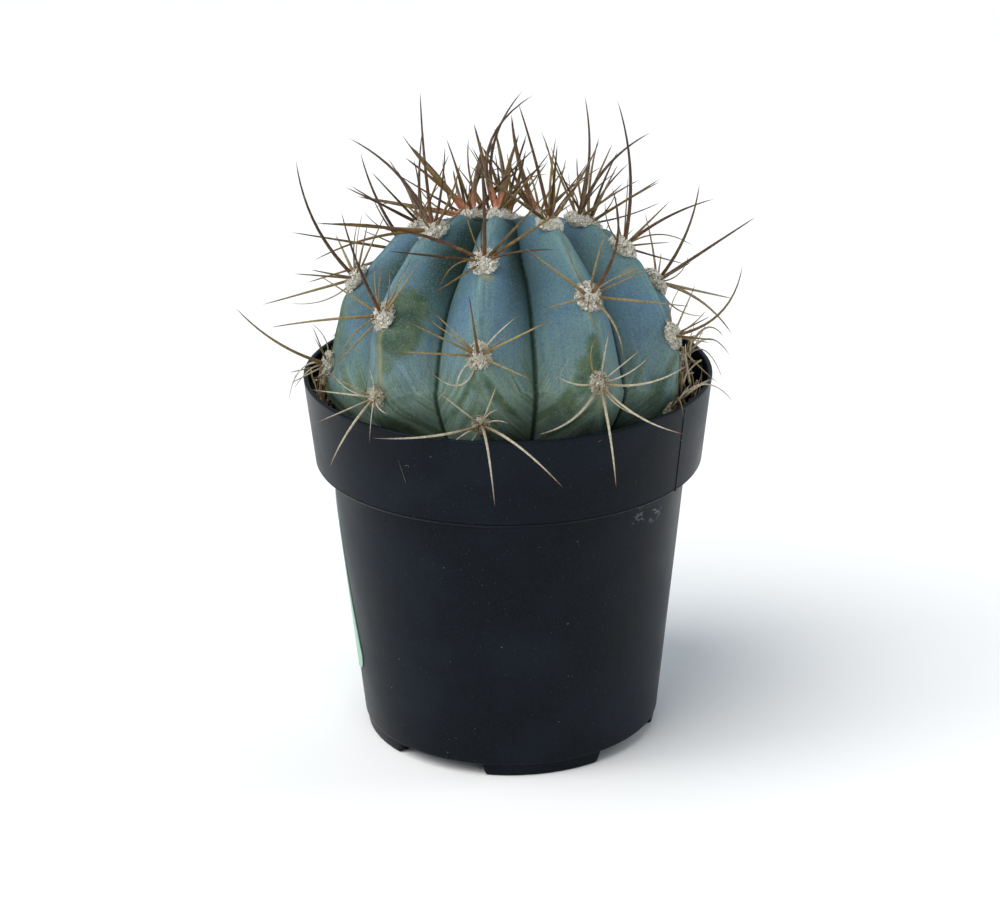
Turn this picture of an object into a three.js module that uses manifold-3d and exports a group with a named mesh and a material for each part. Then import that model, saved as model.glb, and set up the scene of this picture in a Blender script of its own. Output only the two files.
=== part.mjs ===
// A potted round cactus: a blue-green ribbed globe with woolly areoles and curved spines,
// growing in peat in a round nursery pot with a deep collar and four feet.
// Units are millimetres, +Z is up, the front of the plant faces -Y, and the pot's axis is the Z axis.

import * as THREE from "three";
import { mergeVertices } from "three/addons/utils/BufferGeometryUtils.js";
import Module from "manifold-3d";

const wasm = await Module();
wasm.setup();

// ---------------------------------------------------------------- driving dimensions

const GAP = 0.3; // clearance between pieces that rest on or in each other
const SKIN_GAP = GAP * 1.5; // the same along the crests, because the ribs' flanks slope
const SLIVER = 0.04; // detail finer than this is smoothed away after a join or a cut

const POT = {
  height: 97.5,
  rimRadius: 52.5,
  collarHeight: 23.8,
  collarFootRadius: 49.9,
  shoulderRadius: 46,
  baseRadius: 39,
  footHeight: 3.3,
  wall: 1.2,
  segments: 48,
};
const FEET = { azimuths: [-73, 12.5, 98.5, 192.5], topSpan: 51, bottomSpan: 45.5, outer: 38.3, inner: 29 };
const DRAIN = { count: 4, radius: 4, ringRadius: 26, azimuth: 57.5 };
const LABEL = { width: 35, height: 48.5, corner: 5, thickness: 0.5, middle: 38, azimuth: -102.2, slant: 14 };
const SOIL = { top: 80, lump: 1.1, lumpySteps: [1, 3, 6.5, 11], segments: 36 };

// The stem is a flattened globe in a frame of its own, which leans back from the pot's axis.
const STEM = {
  radius: 45.8,
  rise: 45.5, // from the widest ring up to the crown, before the dimple
  drop: 30, // from the widest ring down to the root neck
  risePower: 0.88,
  dropPower: 1.33,
  dimple: 3,
  dimpleRadius: 9,
  valleyDepth: 9.5,
  valleyPower: 1.4,
  valleyDeepens: [3, 30], // between these arcs from the crown
  valleyEnds: [50, 120],
  ribSegments: 8,
  rows: 22,
  centre: [0, -2.3, 92.7],
  leanBack: 18.4, // degrees
};
const AREOLE = { width: 3.5, length: 4.2, thickness: 2.5, spineLift: 0.6 };
const CROWN = { radius: 5.8, thickness: 4.4, sink: 1, spines: 9, lean: [62, 16], length: [18, 10] };
const SPINE = { rootRadius: 0.72, sides: 3, bentPieces: 4, straightBelow: 0.7, fewest: 7, tellApart: 26 };
// How far a spine keeps from the pot, other spines and other wool, and the share of it near its root
// that may lie along the skin.
const CLEAR = { pot: 0.6, spine: 0.5, wool: 0.4, rootShare: 0.25, samples: 14 };

// Ribs in order round the stem, from the left side through the front. An areole lies on the rib's
// crest, `arc` along it from the crown. Its hand-placed spines are
// [clock, lean, length, bow]: clock 0 points up the rib and 90 to the right seen from outside,
// lean is the angle out from the skin, and bow bends the middle sideways, in mm.
const RIBS = [
  { name: "d", azimuth: -85, areoles: [
    { arc: 22, spines: [] },
    { arc: 43.5, spines: [[20, 60, 34, 3], [180, 60, 16, 0], [180, 40, 25, 0], [285, 20, 30, 0],
      [55, 15, 22, 0], [10, 10, 18, 0]] },
    { arc: 66.5, spines: [[55, 48, 33, 2], [45, 20, 14, 0], [135, 50, 12, 0], [175, 30, 11, 0],
      [230, 60, 11, 0]] },
  ] },
  { name: "c", azimuth: -45, areoles: [
    { arc: 12, spines: [[225, 50, 27, 1], [150, 40, 25, 0]] },
    { arc: 26.5, spines: [[355, 65, 35, 0.5], [200, 15, 33, -2], [210, 30, 31, 0], [280, 50, 33, -3],
      [300, 40, 25, 0]] },
    { arc: 54, spines: [[20, 55, 32, 1], [45, 20, 19, 0], [65, 25, 24, 0], [295, 30, 20, 0],
      [240, 45, 28, -0.5], [195, 25, 18, 0]] },
    { arc: 74, spines: [[310, 30, 14, 0], [290, 40, 16, 0], [250, 40, 16, 0], [175, 56, 23, -1]] },
  ] },
  { name: "a", azimuth: -9, areoles: [
    { arc: 14, spines: [[325, 60, 24, 0], [16, 65, 33, 4.5], [40, 65, 32, 7]] },
    { arc: 39, spines: [[15, 75, 31, -0.5], [65, 40, 24, 0], [75, 30, 28, 0], [105, 25, 22, 1],
      [270, 20, 41, -3], [255, 25, 25, 0], [215, 15, 19, 0]] },
    { arc: 64, spines: [[270, 30, 23, 0], [295, 30, 21, 0], [315, 25, 16, 0], [5, 60, 24, 0],
      [50, 25, 15, 0.5], [70, 30, 24, 0], [115, 20, 17, 0], [250, 25, 13, 5.5]] },
    { arc: 81.5, spines: [[290, 30, 29, 3], [330, 15, 18, 0], [20, 15, 19, 0], [125, 65, 26, 0],
      [95, 43, 30, -1.5]] },
  ] },
  { name: "b", azimuth: 28.5, areoles: [
    { arc: 23, spines: [[270, 30, 30, 0], [335, 60, 31, -0.5], [355, 60, 23, -2], [220, 60, 29, 0],
      [35, 50, 18, 0]] },
    { arc: 49.5, spines: [[345, 60, 32, -4], [285, 30, 28, 0], [250, 20, 21, 0], [75, 25, 18, 0],
      [115, 30, 25, 0], [175, 15, 20, 2]] },
    { arc: 71, spines: [[280, 20, 18, 1.5], [245, 25, 30, 2.5], [195, 35, 31, 0.5], [130, 35, 24, -2],
      [75, 40, 23, -2.5], [45, 30, 13, 0]] },
  ] },
  { name: "e", azimuth: 66.5, areoles: [
    { arc: 20, spines: [[40, 60, 34, -2], [75, 40, 30, 0], [100, 50, 33, 3], [265, 50, 20, 0]] },
    { arc: 34, spines: [[345, 50, 37, -2.5], [105, 45, 29, 1.5], [80, 35, 22, 0], [250, 15, 15, 0]] },
    { arc: 60, spines: [[30, 50, 25, -4.5], [30, 25, 15, 0], [65, 50, 11, 0], [250, 50, 20, 0]] },
    { arc: 79, spines: [[310, 15, 20, 0], [360, 50, 17, 0]] },
  ] },
  { name: "f", azimuth: 102, areoles: [
    { arc: 22, spines: [] },
    { arc: 45.5, spines: [[335, 50, 28, -2], [140, 40, 29, 0], [155, 25, 30, 2.5], [275, 30, 15, 0],
      [99, 80, 34, 0]] },
    { arc: 68, spines: [[95, 50, 23, 0], [75, 40, 28, 0]] },
  ] },
  { name: "g", azimuth: 145, areoles: [
    { arc: 15, spines: [] },
    { arc: 37, spines: [] },
    { arc: 60, spines: [] },
  ] },
  { name: "h", azimuth: 190, areoles: [
    { arc: 21, spines: [] },
    { arc: 43, spines: [[25, 60, 37, 2]] },
    { arc: 63, spines: [] },
  ] },
  { name: "i", azimuth: 232, areoles: [
    { arc: 13, spines: [[155, 15, 30, 0], [150, 35, 22, 0]] },
    { arc: 34, spines: [[130, 40, 32, 0], [165, 25, 32, 0]] },
    { arc: 57, spines: [] },
  ] },
];

// ---------------------------------------------------------------- materials

const matte = (color, roughness) => new THREE.MeshStandardMaterial({ color, roughness, metalness: 0 });
const MATERIALS = {
  pot: () => matte(0x1c2128, 0.42),
  soil: () => matte(0x2c2019, 1),
  label: () => matte(0xa6d9c0, 0.6),
  skin: () => matte(0x60808f, 0.62),
  spines: () => matte(0x8a6a4a, 0.6),
};

// ---------------------------------------------------------------- helpers

const radians = THREE.MathUtils.degToRad;
const lerp = THREE.MathUtils.lerp;
const smooth = THREE.MathUtils.smoothstep;

/** A repeatable draw between 0 and 1 for a pair of whole numbers. */
function draw(i, j) {
  const s = Math.sin(i * 12.9898 + j * 78.233) * 43758.5453;
  return s - Math.floor(s);
}

/** Unit vector across the ground, `azimuth` degrees from the front (-Y) towards +X. */
const heading = (azimuth) =>
  new THREE.Vector3(Math.sin(radians(azimuth)), -Math.cos(radians(azimuth)), 0);

/** The closed solid of a geometry, for joining and cutting. */
function solid(geometry) {
  const bare = geometry.clone();
  bare.deleteAttribute("normal");
  bare.deleteAttribute("uv");
  const merged = mergeVertices(bare, 1e-4);
  return new wasm.Manifold(new wasm.Mesh({
    numProp: 3,
    vertProperties: new Float32Array(merged.attributes.position.array),
    triVerts: new Uint32Array(merged.index.array),
  }));
}

/** The geometry of a solid's largest body, with slivers left by joins and cuts smoothed away. */
function geometryOf(joined) {
  const bodies = joined.asOriginal().simplify(SLIVER).decompose();
  bodies.sort((a, b) => b.volume() - a.volume());
  const mesh = bodies[0].getMesh();
  const geometry = new THREE.BufferGeometry();
  geometry.setAttribute("position", new THREE.BufferAttribute(mesh.vertProperties, 3));
  geometry.setIndex(new THREE.BufferAttribute(mesh.triVerts, 1));
  geometry.computeVertexNormals();
  return geometry;
}

/** Moves each point of a geometry by a function of its place and its uv. */
function reshape(geometry, move) {
  const { position, uv } = geometry.attributes;
  const point = new THREE.Vector3();
  for (let i = 0; i < position.count; i++) {
    point.fromBufferAttribute(position, i);
    move(point, uv.getX(i), uv.getY(i));
    position.setXYZ(i, point.x, point.y, point.z);
  }
  return geometry;
}

function part(name, geometry, material) {
  const mesh = new THREE.Mesh(geometry, material);
  mesh.name = name;
  return mesh;
}

/** A lathe about the Z axis from [radius, height] points. */
function turned(outline, segments) {
  const points = outline.map(([r, z]) => new THREE.Vector2(r, z));
  return new THREE.LatheGeometry(points, segments).rotateX(Math.PI / 2);
}

// ---------------------------------------------------------------- pot

const collarBottom = POT.height - POT.collarHeight;

/** Radius of the pot's outside at a height. */
function potRadius(z) {
  if (z > collarBottom)
    return lerp(POT.collarFootRadius, POT.rimRadius, (z - collarBottom) / POT.collarHeight);
  return lerp(POT.baseRadius, POT.shoulderRadius, (z - POT.footHeight) / (collarBottom - POT.footHeight));
}

function potShell() {
  const { height, rimRadius, wall, footHeight } = POT;
  const floorTop = footHeight + wall;
  const ledge = collarBottom + wall;
  const lip = 0.35;
  return turned([
    [0, footHeight],
    [POT.baseRadius, footHeight],
    [POT.shoulderRadius, collarBottom],
    [POT.collarFootRadius, collarBottom],
    [rimRadius, height - lip],
    [rimRadius - lip, height],
    [rimRadius - wall + lip, height],
    [rimRadius - wall, height - lip],
    [potRadius(ledge) - wall, ledge],
    [POT.shoulderRadius - wall, ledge],
    [potRadius(floorTop) - wall, floorTop],
    [0, floorTop],
  ], POT.segments);
}

/** One foot: an arc of the base ring with ends that slant in towards the ground. */
function foot(azimuth) {
  const half = radians(FEET.topSpan / 2);
  const ring = new THREE.Shape();
  ring.absarc(0, 0, FEET.outer, -half, half, false);
  ring.absarc(0, 0, FEET.inner, half, -half, true);
  const depth = POT.footHeight + POT.wall / 2;
  const block = new THREE.ExtrudeGeometry(ring, { depth, bevelEnabled: false, curveSegments: 6 });
  const narrowing = 1 - FEET.bottomSpan / FEET.topSpan;
  reshape(block, (p) => {
    const reach = Math.hypot(p.x, p.y);
    const squeeze = 1 - narrowing * Math.max(0, 1 - p.z / POT.footHeight);
    const angle = Math.atan2(p.y, p.x) * squeeze + radians(azimuth - 90);
    p.set(reach * Math.cos(angle), reach * Math.sin(angle), p.z);
  });
  return block;
}

function drainHole(x, y) {
  const hole = new THREE.CylinderGeometry(DRAIN.radius, DRAIN.radius, POT.footHeight * 3, 14);
  return hole.rotateX(Math.PI / 2).translate(x, y, POT.footHeight);
}

function makePot() {
  let pot = solid(potShell());
  for (const azimuth of FEET.azimuths) pot = pot.add(solid(foot(azimuth)));
  for (let k = 0; k < DRAIN.count; k++) {
    const place = heading(DRAIN.azimuth + (360 / DRAIN.count) * k).multiplyScalar(DRAIN.ringRadius);
    pot = pot.subtract(solid(drainHole(place.x, place.y)));
  }
  pot = pot.subtract(solid(drainHole(0, 0)));
  return part("pot", geometryOf(pot), MATERIALS.pot());
}

/** The blank sticker: a thin plate with round corners, stuck on aslant and bent round the pot's taper. */
function makeLabel() {
  const { width, height, corner, thickness, middle, azimuth } = LABEL;
  const slant = radians(LABEL.slant);
  const plate = new THREE.BoxGeometry(width, height, thickness, 8, 12, 1);
  reshape(plate, (p) => {
    const past = Math.max(0, Math.abs(p.y) - (height / 2 - corner));
    const inset = corner - Math.sqrt(Math.max(0, corner ** 2 - past ** 2));
    const x = p.x * (1 - inset / (width / 2));
    const across = x * Math.cos(slant) - p.y * Math.sin(slant);
    const z = middle + p.y * Math.cos(slant) + x * Math.sin(slant);
    const out = heading(azimuth + THREE.MathUtils.radToDeg(across / potRadius(z)));
    out.multiplyScalar(potRadius(z) + GAP + thickness / 2 + p.z);
    p.set(out.x, out.y, z);
  });
  return part("label", plate, MATERIALS.label());
}

// ---------------------------------------------------------------- stem

/** A point of the crest's outline, [radius, height], at a latitude in radians. */
function crestPoint(latitude) {
  const above = latitude > 0;
  const power = above ? STEM.risePower : STEM.dropPower;
  const radius = STEM.radius * Math.max(0, Math.cos(latitude)) ** power;
  const reach = Math.abs(Math.sin(latitude)) ** power;
  if (!above) return new THREE.Vector2(radius, -STEM.drop * reach);
  const dimple = STEM.dimple * Math.exp(-((radius / STEM.dimpleRadius) ** 2));
  return new THREE.Vector2(radius, STEM.rise * reach - dimple);
}

/** The crest's outline from the crown to the root neck, with the arc length at each point. */
const crest = (() => {
  const steps = 1200;
  const points = Array.from({ length: steps + 1 }, (_, i) => crestPoint(Math.PI * (0.5 - i / steps)));
  const arcs = [0];
  for (let i = 1; i <= steps; i++) arcs.push(arcs[i - 1] + points[i].distanceTo(points[i - 1]));
  return { points, arcs, length: arcs[steps] };
})();

/** The crest's [radius, height] at an arc length from the crown. */
function crestAt(arc) {
  const { points, arcs } = crest;
  const aim = THREE.MathUtils.clamp(arc, 0, crest.length);
  let i = arcs.findIndex((a) => a >= aim);
  i = Math.max(1, i);
  return points[i - 1].clone().lerp(points[i], (aim - arcs[i - 1]) / (arcs[i] - arcs[i - 1]));
}

/** Place and axes on a rib's crest: right and up lie in the skin, out stands on it. */
function crestFrame(azimuth, arc) {
  const step = 0.5;
  const down = crestAt(arc + step).sub(crestAt(Math.max(0, arc - step))).normalize();
  const outward = heading(azimuth);
  const { x: radius, y: height } = crestAt(arc);
  const at = outward.clone().multiplyScalar(radius).setZ(height);
  const up = outward.clone().multiplyScalar(-down.x).setZ(-down.y);
  const out = outward.clone().multiplyScalar(-down.y).setZ(down.x);
  return { at, up, out, right: up.clone().cross(out) };
}

/** Azimuth where `turn` whole ribs and parts of one have been passed. */
function ribAzimuth(turn) {
  const k = Math.floor(turn) % RIBS.length;
  const next = RIBS[(k + 1) % RIBS.length].azimuth + (k + 1 === RIBS.length ? 360 : 0);
  return lerp(RIBS[k].azimuth, next, turn - Math.floor(turn));
}

/** The ribbed skin, swollen by `extra`. */
function stemGeometry(extra) {
  const ball = new THREE.SphereGeometry(1, RIBS.length * STEM.ribSegments, STEM.rows);
  return reshape(ball, (p, u, v) => {
    const turn = ((u + 1) % 1) * RIBS.length;
    const arc = (1 - v) * crest.length;
    const { at, out } = crestFrame(ribAzimuth(turn), arc);
    const fromCrest = 2 * Math.abs(turn - Math.round(turn));
    const depth = STEM.valleyDepth * smooth(arc, ...STEM.valleyDeepens)
      * (1 - smooth(arc, ...STEM.valleyEnds));
    const atPole = v === 0 || v === 1;
    if (atPole) out.set(0, 0, v === 1 ? 1 : -1);
    p.copy(at).addScaledVector(out, extra - depth * fromCrest ** STEM.valleyPower);
  });
}

const plant = new THREE.Group();
plant.position.set(...STEM.centre);
plant.rotation.x = -radians(STEM.leanBack);
plant.updateMatrix();
const worldUp = new THREE.Vector3(0, 0, 1).applyQuaternion(plant.quaternion.clone().invert());

const swollenStem = solid(stemGeometry(SKIN_GAP)); // what cuts the pieces that rest on the skin

const makeStem = () => part("stem", geometryOf(solid(stemGeometry(0))), MATERIALS.skin());

/** Peat that fills the pot, with a lumpy top and a plain hollow where the stem stands. */
function makeSoil() {
  const bottom = POT.footHeight + POT.wall + GAP;
  const inside = (z) => potRadius(z) - POT.wall - GAP;
  const ledge = collarBottom + POT.wall + GAP;
  const edge = inside(SOIL.top);
  const peat = turned([
    [0, bottom],
    [inside(bottom), bottom],
    [POT.shoulderRadius - POT.wall - GAP, ledge],
    [inside(ledge), ledge],
    [edge, SOIL.top],
    ...SOIL.lumpySteps.map((step) => [edge - step, SOIL.top]),
    [0, SOIL.top],
  ], SOIL.segments);
  reshape(peat, (p) => {
    const reach = Math.hypot(p.x, p.y);
    if (p.z < SOIL.top || reach > edge - SOIL.lumpySteps[0] / 2) return;
    const angle = Math.atan2(p.y, p.x);
    p.z += SOIL.lump * (0.6 * Math.sin(5 * angle + reach) + 0.4 * Math.sin(11 * angle + 0.6 * reach));
  });
  const hollow = solid(stemGeometry(SKIN_GAP).applyMatrix4(plant.matrix));
  return part("soil", geometryOf(solid(peat).subtract(hollow)), MATERIALS.soil());
}

// ---------------------------------------------------------------- spines and areoles

/** A spine's centre line: a chord with a sideways bow and an arch towards the sky. */
function spinePath(frame, [clock, lean, length, bow], arch = 0, lift = 0) {
  const chord = frame.up.clone().multiplyScalar(Math.cos(radians(clock)));
  chord.addScaledVector(frame.right, Math.sin(radians(clock)));
  chord.multiplyScalar(Math.cos(radians(lean))).addScaledVector(frame.out, Math.sin(radians(lean)));
  const side = chord.clone().cross(new THREE.Vector3(0, 1, 0)).normalize();
  chord.multiplyScalar(length).addScaledVector(worldUp, lift);
  const root = frame.at.clone().addScaledVector(frame.out, AREOLE.spineLift);
  return (t) => {
    const bulge = 4 * t * (1 - t);
    return root.clone().addScaledVector(chord, t)
      .addScaledVector(side, bow * bulge).addScaledVector(worldUp, arch * bulge);
  };
}

const spineRadius = (t) => SPINE.rootRadius * (1 - t);

/** A three-sided needle along a path, its root sunk in the wool. */
function needle(path, bent) {
  const pieces = bent ? SPINE.bentPieces : 1;
  const cone = new THREE.ConeGeometry(SPINE.rootRadius, 1, SPINE.sides, pieces);
  const ahead = path(0.1).sub(path(0)).normalize();
  const side = new THREE.Vector3(1, 0, 0).cross(ahead).normalize();
  const other = ahead.clone().cross(side);
  return reshape(cone, (p) => {
    const centre = path(p.y + 0.5);
    p.copy(centre.addScaledVector(side, p.z).addScaledVector(other, p.x));
  });
}

const taken = []; // points on the spines placed so far
const pads = []; // the wool pads' places

/** Whether a point stands clear of the pot's wall and the peat. */
function clearOfPot(point, radius) {
  const world = point.clone().applyMatrix4(plant.matrix);
  const reach = Math.hypot(world.x, world.y);
  const margin = radius + CLEAR.pot;
  const edge = potRadius(Math.min(world.z, POT.height));
  if (world.z < SOIL.top + SOIL.lump + margin && reach < edge) return false;
  const inWall = reach > edge - POT.wall - margin && reach < edge + margin;
  return world.z > POT.height + margin || !inWall;
}

/** Whether a point stands outside the crests, seen from the middle of the stem. */
function clearOfStem(point) {
  const reach = Math.hypot(point.x, point.y);
  const angle = Math.atan2(point.z, reach);
  const crestThere = crest.points.find((c) => Math.atan2(c.y, c.x) <= angle);
  return Math.hypot(reach, point.z) > crestThere.length();
}

/** Whether a point stands clear of every other cluster's spines and wool. */
function clearOfOthers(point, radius, owner) {
  const far = (other, at, reach) => other === owner || at.distanceTo(point) > reach + radius;
  return taken.every((spot) => far(spot.owner, spot.point, spot.radius + CLEAR.spine))
    && pads.every((pad) => far(pad.owner, pad.at, AREOLE.length + CLEAR.wool));
}

// What is tried in turn to bend a spine clear: [arch, lift] in mm with [clock, lean] in degrees.
const RISES = [[0, 0], [2, 0], [4, 0], [6, 0], [0, 5], [0, 10], [0, 15], [2, 20], [3, 25]];
const TURNS = [[0, 0], [7, 0], [-7, 0], [0, 9], [12, 9], [-12, 9], [0, 18], [16, 18], [-16, 18]];

/** Bends a spine clear of the pot, the stem and its neighbours, or leaves it out. */
function bentClear(frame, [clock, lean, length, bow], owner) {
  for (const [arch, lift] of RISES)
    for (const [clockTurn, leanTurn] of TURNS) {
      const path = spinePath(frame, [clock + clockTurn, lean + leanTurn, length, bow], arch, lift);
      const spots = Array.from({ length: CLEAR.samples }, (_, i) => {
        const t = i / (CLEAR.samples - 1);
        return { t, point: path(t), radius: spineRadius(t), owner };
      });
      const clear = spots.every(({ t, point, radius }) => clearOfPot(point, radius)
        && clearOfOthers(point, radius, owner) && (t < CLEAR.rootShare || clearOfStem(point)));
      if (!clear) continue;
      taken.push(...spots);
      return needle(path, Math.abs(bow) > SPINE.straightBelow || arch > 0 || lift > 0);
    }
  return null;
}

const clockDistance = (a, b) => Math.abs(((a - b + 540) % 360) - 180);

// How drawn spines stand by the age of their areole: each pair is [least, range].
const upright = { lean: [62, 12], length: [22, 9] };
const AGES = [
  { untilArc: 30, central: upright, radial: { lean: [40, 16], length: [17, 9] } },
  { untilArc: 56, central: upright, radial: { lean: [22, 16], length: [12, 9] } },
  { untilArc: 99, central: { lean: [30, 15], length: [15, 7] }, radial: { lean: [18, 14], length: [8, 5] } },
];
const CENTRAL_LEAN = 45; // a spine that leans out further than this is a central one

/** An areole's hand-placed spines, filled up round the clock with drawn ones. */
function spinesOf(areole, seed) {
  const spines = [...areole.spines];
  const { central, radial } = AGES.find((age) => areole.arc < age.untilArc);
  const pick = ([least, range], k) => least + range * draw(seed, k);
  if (!spines.some(([, lean]) => lean > CENTRAL_LEAN))
    spines.push([90 * draw(seed, 1) - 45, pick(central.lean, 2), pick(central.length, 3), 3 * draw(seed, 4)]);
  for (let k = 0; k < SPINE.fewest && spines.length < SPINE.fewest; k++) {
    const clock = (360 * (k + draw(seed, k + 10) * 0.5)) / SPINE.fewest;
    const near = ([other, lean]) => lean < CENTRAL_LEAN && clockDistance(clock, other) < SPINE.tellApart;
    if (spines.some(near)) continue;
    spines.push([clock, pick(radial.lean, k + 20), pick(radial.length, k + 30), 2 * draw(seed, k + 40) - 1]);
  }
  return spines;
}

/** A pad of wool on the skin. */
function woolPad(frame, width, length, thickness) {
  const pad = new THREE.SphereGeometry(1, 7, 5).rotateX(Math.PI / 2).scale(width, length, thickness);
  const axes = new THREE.Matrix4().makeBasis(frame.right, frame.up, frame.out).setPosition(frame.at);
  return pad.applyMatrix4(axes);
}

/** Wool and spines joined in one body, which ends just short of the skin. */
function cluster(name, pad, needles) {
  let joined = solid(pad);
  for (const spine of needles) joined = joined.add(solid(spine));
  return part(name, geometryOf(joined.subtract(swollenStem)), MATERIALS.spines());
}

function makeAreoles() {
  const list = RIBS.flatMap((rib) => rib.areoles.map((areole, k) => ({
    name: `areole_${rib.name}${k + 1}`,
    areole,
    frame: crestFrame(rib.azimuth, areole.arc),
  })));
  list.forEach(({ name, frame }) => pads.push({ owner: name, at: frame.at }));
  return list.map(({ name, areole, frame }, seed) => {
    const needles = spinesOf(areole, seed).map((spine) => bentClear(frame, spine, name));
    const pad = woolPad(frame, AREOLE.width, AREOLE.length, AREOLE.thickness);
    return cluster(name, pad, needles.filter(Boolean));
  });
}

/** The woolly crown with its young spines, which stand up in a fan. */
function makeCrown() {
  const frame = {
    at: new THREE.Vector3(0, 0, crest.points[0].y - CROWN.sink),
    up: new THREE.Vector3(0, 1, 0),
    out: new THREE.Vector3(0, 0, 1),
    right: new THREE.Vector3(1, 0, 0),
  };
  const needles = [];
  for (let k = 0; k < CROWN.spines; k++) {
    const clock = (360 * (k + 0.5 * draw(k, 50))) / CROWN.spines;
    const lean = CROWN.lean[0] + CROWN.lean[1] * draw(k, 51);
    const length = CROWN.length[0] + CROWN.length[1] * draw(k, 52);
    needles.push(bentClear(frame, [clock, lean, length, 2 * draw(k, 53) - 1], "crown"));
  }
  const pad = woolPad(frame, CROWN.radius, CROWN.radius, CROWN.thickness);
  return cluster("crown", pad, needles.filter(Boolean));
}

// ---------------------------------------------------------------- the whole object

plant.add(makeStem(), ...makeAreoles(), makeCrown());

const pottedCactus = new THREE.Group();
pottedCactus.add(makePot(), makeLabel(), makeSoil(), plant);

export default pottedCactus;
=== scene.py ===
# %% [markdown]
# # A potted round cactus
#
# This lesson dresses a small globe cactus in its nursery pot. A set of plain solids, the frame, says
# where every piece lies and how large it is. Each step below takes one piece, says what it is on the
# real plant, and makes it finely enough to look at from close by.
# All sizes are real ones in millimetres. A piece is turned into metres when it is finished.

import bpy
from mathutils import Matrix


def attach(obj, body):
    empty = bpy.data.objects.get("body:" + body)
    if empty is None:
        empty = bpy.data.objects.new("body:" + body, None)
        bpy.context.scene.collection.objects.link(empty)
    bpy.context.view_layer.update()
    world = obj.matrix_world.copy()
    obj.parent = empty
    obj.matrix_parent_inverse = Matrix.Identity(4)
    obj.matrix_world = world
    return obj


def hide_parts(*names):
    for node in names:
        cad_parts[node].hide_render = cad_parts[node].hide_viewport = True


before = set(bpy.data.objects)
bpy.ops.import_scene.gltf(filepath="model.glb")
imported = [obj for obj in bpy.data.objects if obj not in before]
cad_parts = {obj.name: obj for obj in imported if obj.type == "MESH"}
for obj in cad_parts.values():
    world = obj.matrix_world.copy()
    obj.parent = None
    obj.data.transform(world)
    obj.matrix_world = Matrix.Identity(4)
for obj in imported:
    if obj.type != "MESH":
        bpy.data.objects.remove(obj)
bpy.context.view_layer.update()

# %% Tools of the lesson
import math
import random
from typing import NamedTuple

import bmesh
import bpy
import numpy as np
from mathutils import Matrix, Vector, noise
from mathutils.bvhtree import BVHTree

MM = 0.001

# %% [markdown]
# ## Where we look from
#
# A long lens a little above the rim shows both the crown and the pot's front. The numbers place the
# camera where the rim's ellipse, the pot's sides and its foot look as they do on the photograph.

# %% Camera
VIEW_ELEVATION = 21.61  # degrees above the table
VIEW_DISTANCE = 750
VIEW_TARGET = (-2.27, 0, 72.63)
VIEW_ROLL = -0.647  # degrees
LENS = 103.84  # on a 36 mm sensor


def place_camera():
    """The scene's camera, aimed at the target and turned by the roll."""
    tilt = math.radians(VIEW_ELEVATION)
    back = Vector((0, -math.cos(tilt), math.sin(tilt)))
    roll = Matrix.Rotation(math.radians(VIEW_ROLL), 4, "Z")
    turn = Matrix.Rotation(math.pi / 2 - tilt, 4, "X") @ roll
    place = (Vector(VIEW_TARGET) + back * VIEW_DISTANCE) * MM
    camera = bpy.data.objects.new("camera", bpy.data.cameras.new("camera"))
    camera.data.lens = LENS
    camera.matrix_world = Matrix.Translation(place) @ turn
    bpy.context.scene.collection.objects.link(camera)
    bpy.context.scene.camera = camera
    return place


print("camera at", place_camera())

# %% [markdown]
# ## Trees of nodes
#
# Blender colours a light or a surface by a tree of nodes. The class below adds one node per call and
# joins it to what is handed in, so that each tree further on reads like a recipe.

# %% Recipes
COLOUR_A, COLOUR_B = 6, 7  # a Mix node's colours among its inputs
MIXED_COLOUR = 2  # and among its outputs


class Recipe:
    """A tree of nodes that is built up by plain calls."""

    def __init__(self, tree):
        self.nodes = tree.nodes
        self.links = tree.links

    def feed(self, socket, value):
        """Joins a socket to an output, or gives it a value."""
        if isinstance(value, bpy.types.NodeSocket):
            self.links.new(value, socket)
        else:
            socket.default_value = value

    def node(self, kind, inputs, output=0, **settings):
        """Adds a node and returns one of its outputs."""
        node = self.nodes.new("ShaderNode" + kind)
        for setting, value in settings.items():
            setattr(node, setting, value)
        for socket, value in inputs.items():
            self.feed(node.inputs[socket], value)
        return node.outputs[output]

    def between(self, value, low, high, to_low=0.0, to_high=1.0):
        """A soft step: to_low where value is at low, to_high where it is at high."""
        inputs = {"Value": value, "From Min": low, "From Max": high, "To Min": to_low, "To Max": to_high}
        return self.node("MapRange", inputs, interpolation_type="SMOOTHSTEP")

    def mix(self, share, first, second, blend="MIX"):
        """Two colours mixed by a share."""
        inputs = {0: share, COLOUR_A: first, COLOUR_B: second}
        return self.node("Mix", inputs, MIXED_COLOUR, data_type="RGBA", blend_type=blend)


# %% [markdown]
# ## Studio light
#
# The plant stands on a white table in a white room whose near side, behind the camera, is dim. That
# leaves the pot's front dark and lights its left and right edges, where shiny plastic mirrors the
# room. A wide soft light from above, a little to the left, models the ribs, and three weak ones light
# the sides and the skin just above the rim. The wide one is a sun, so the table is equally bright.

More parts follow.
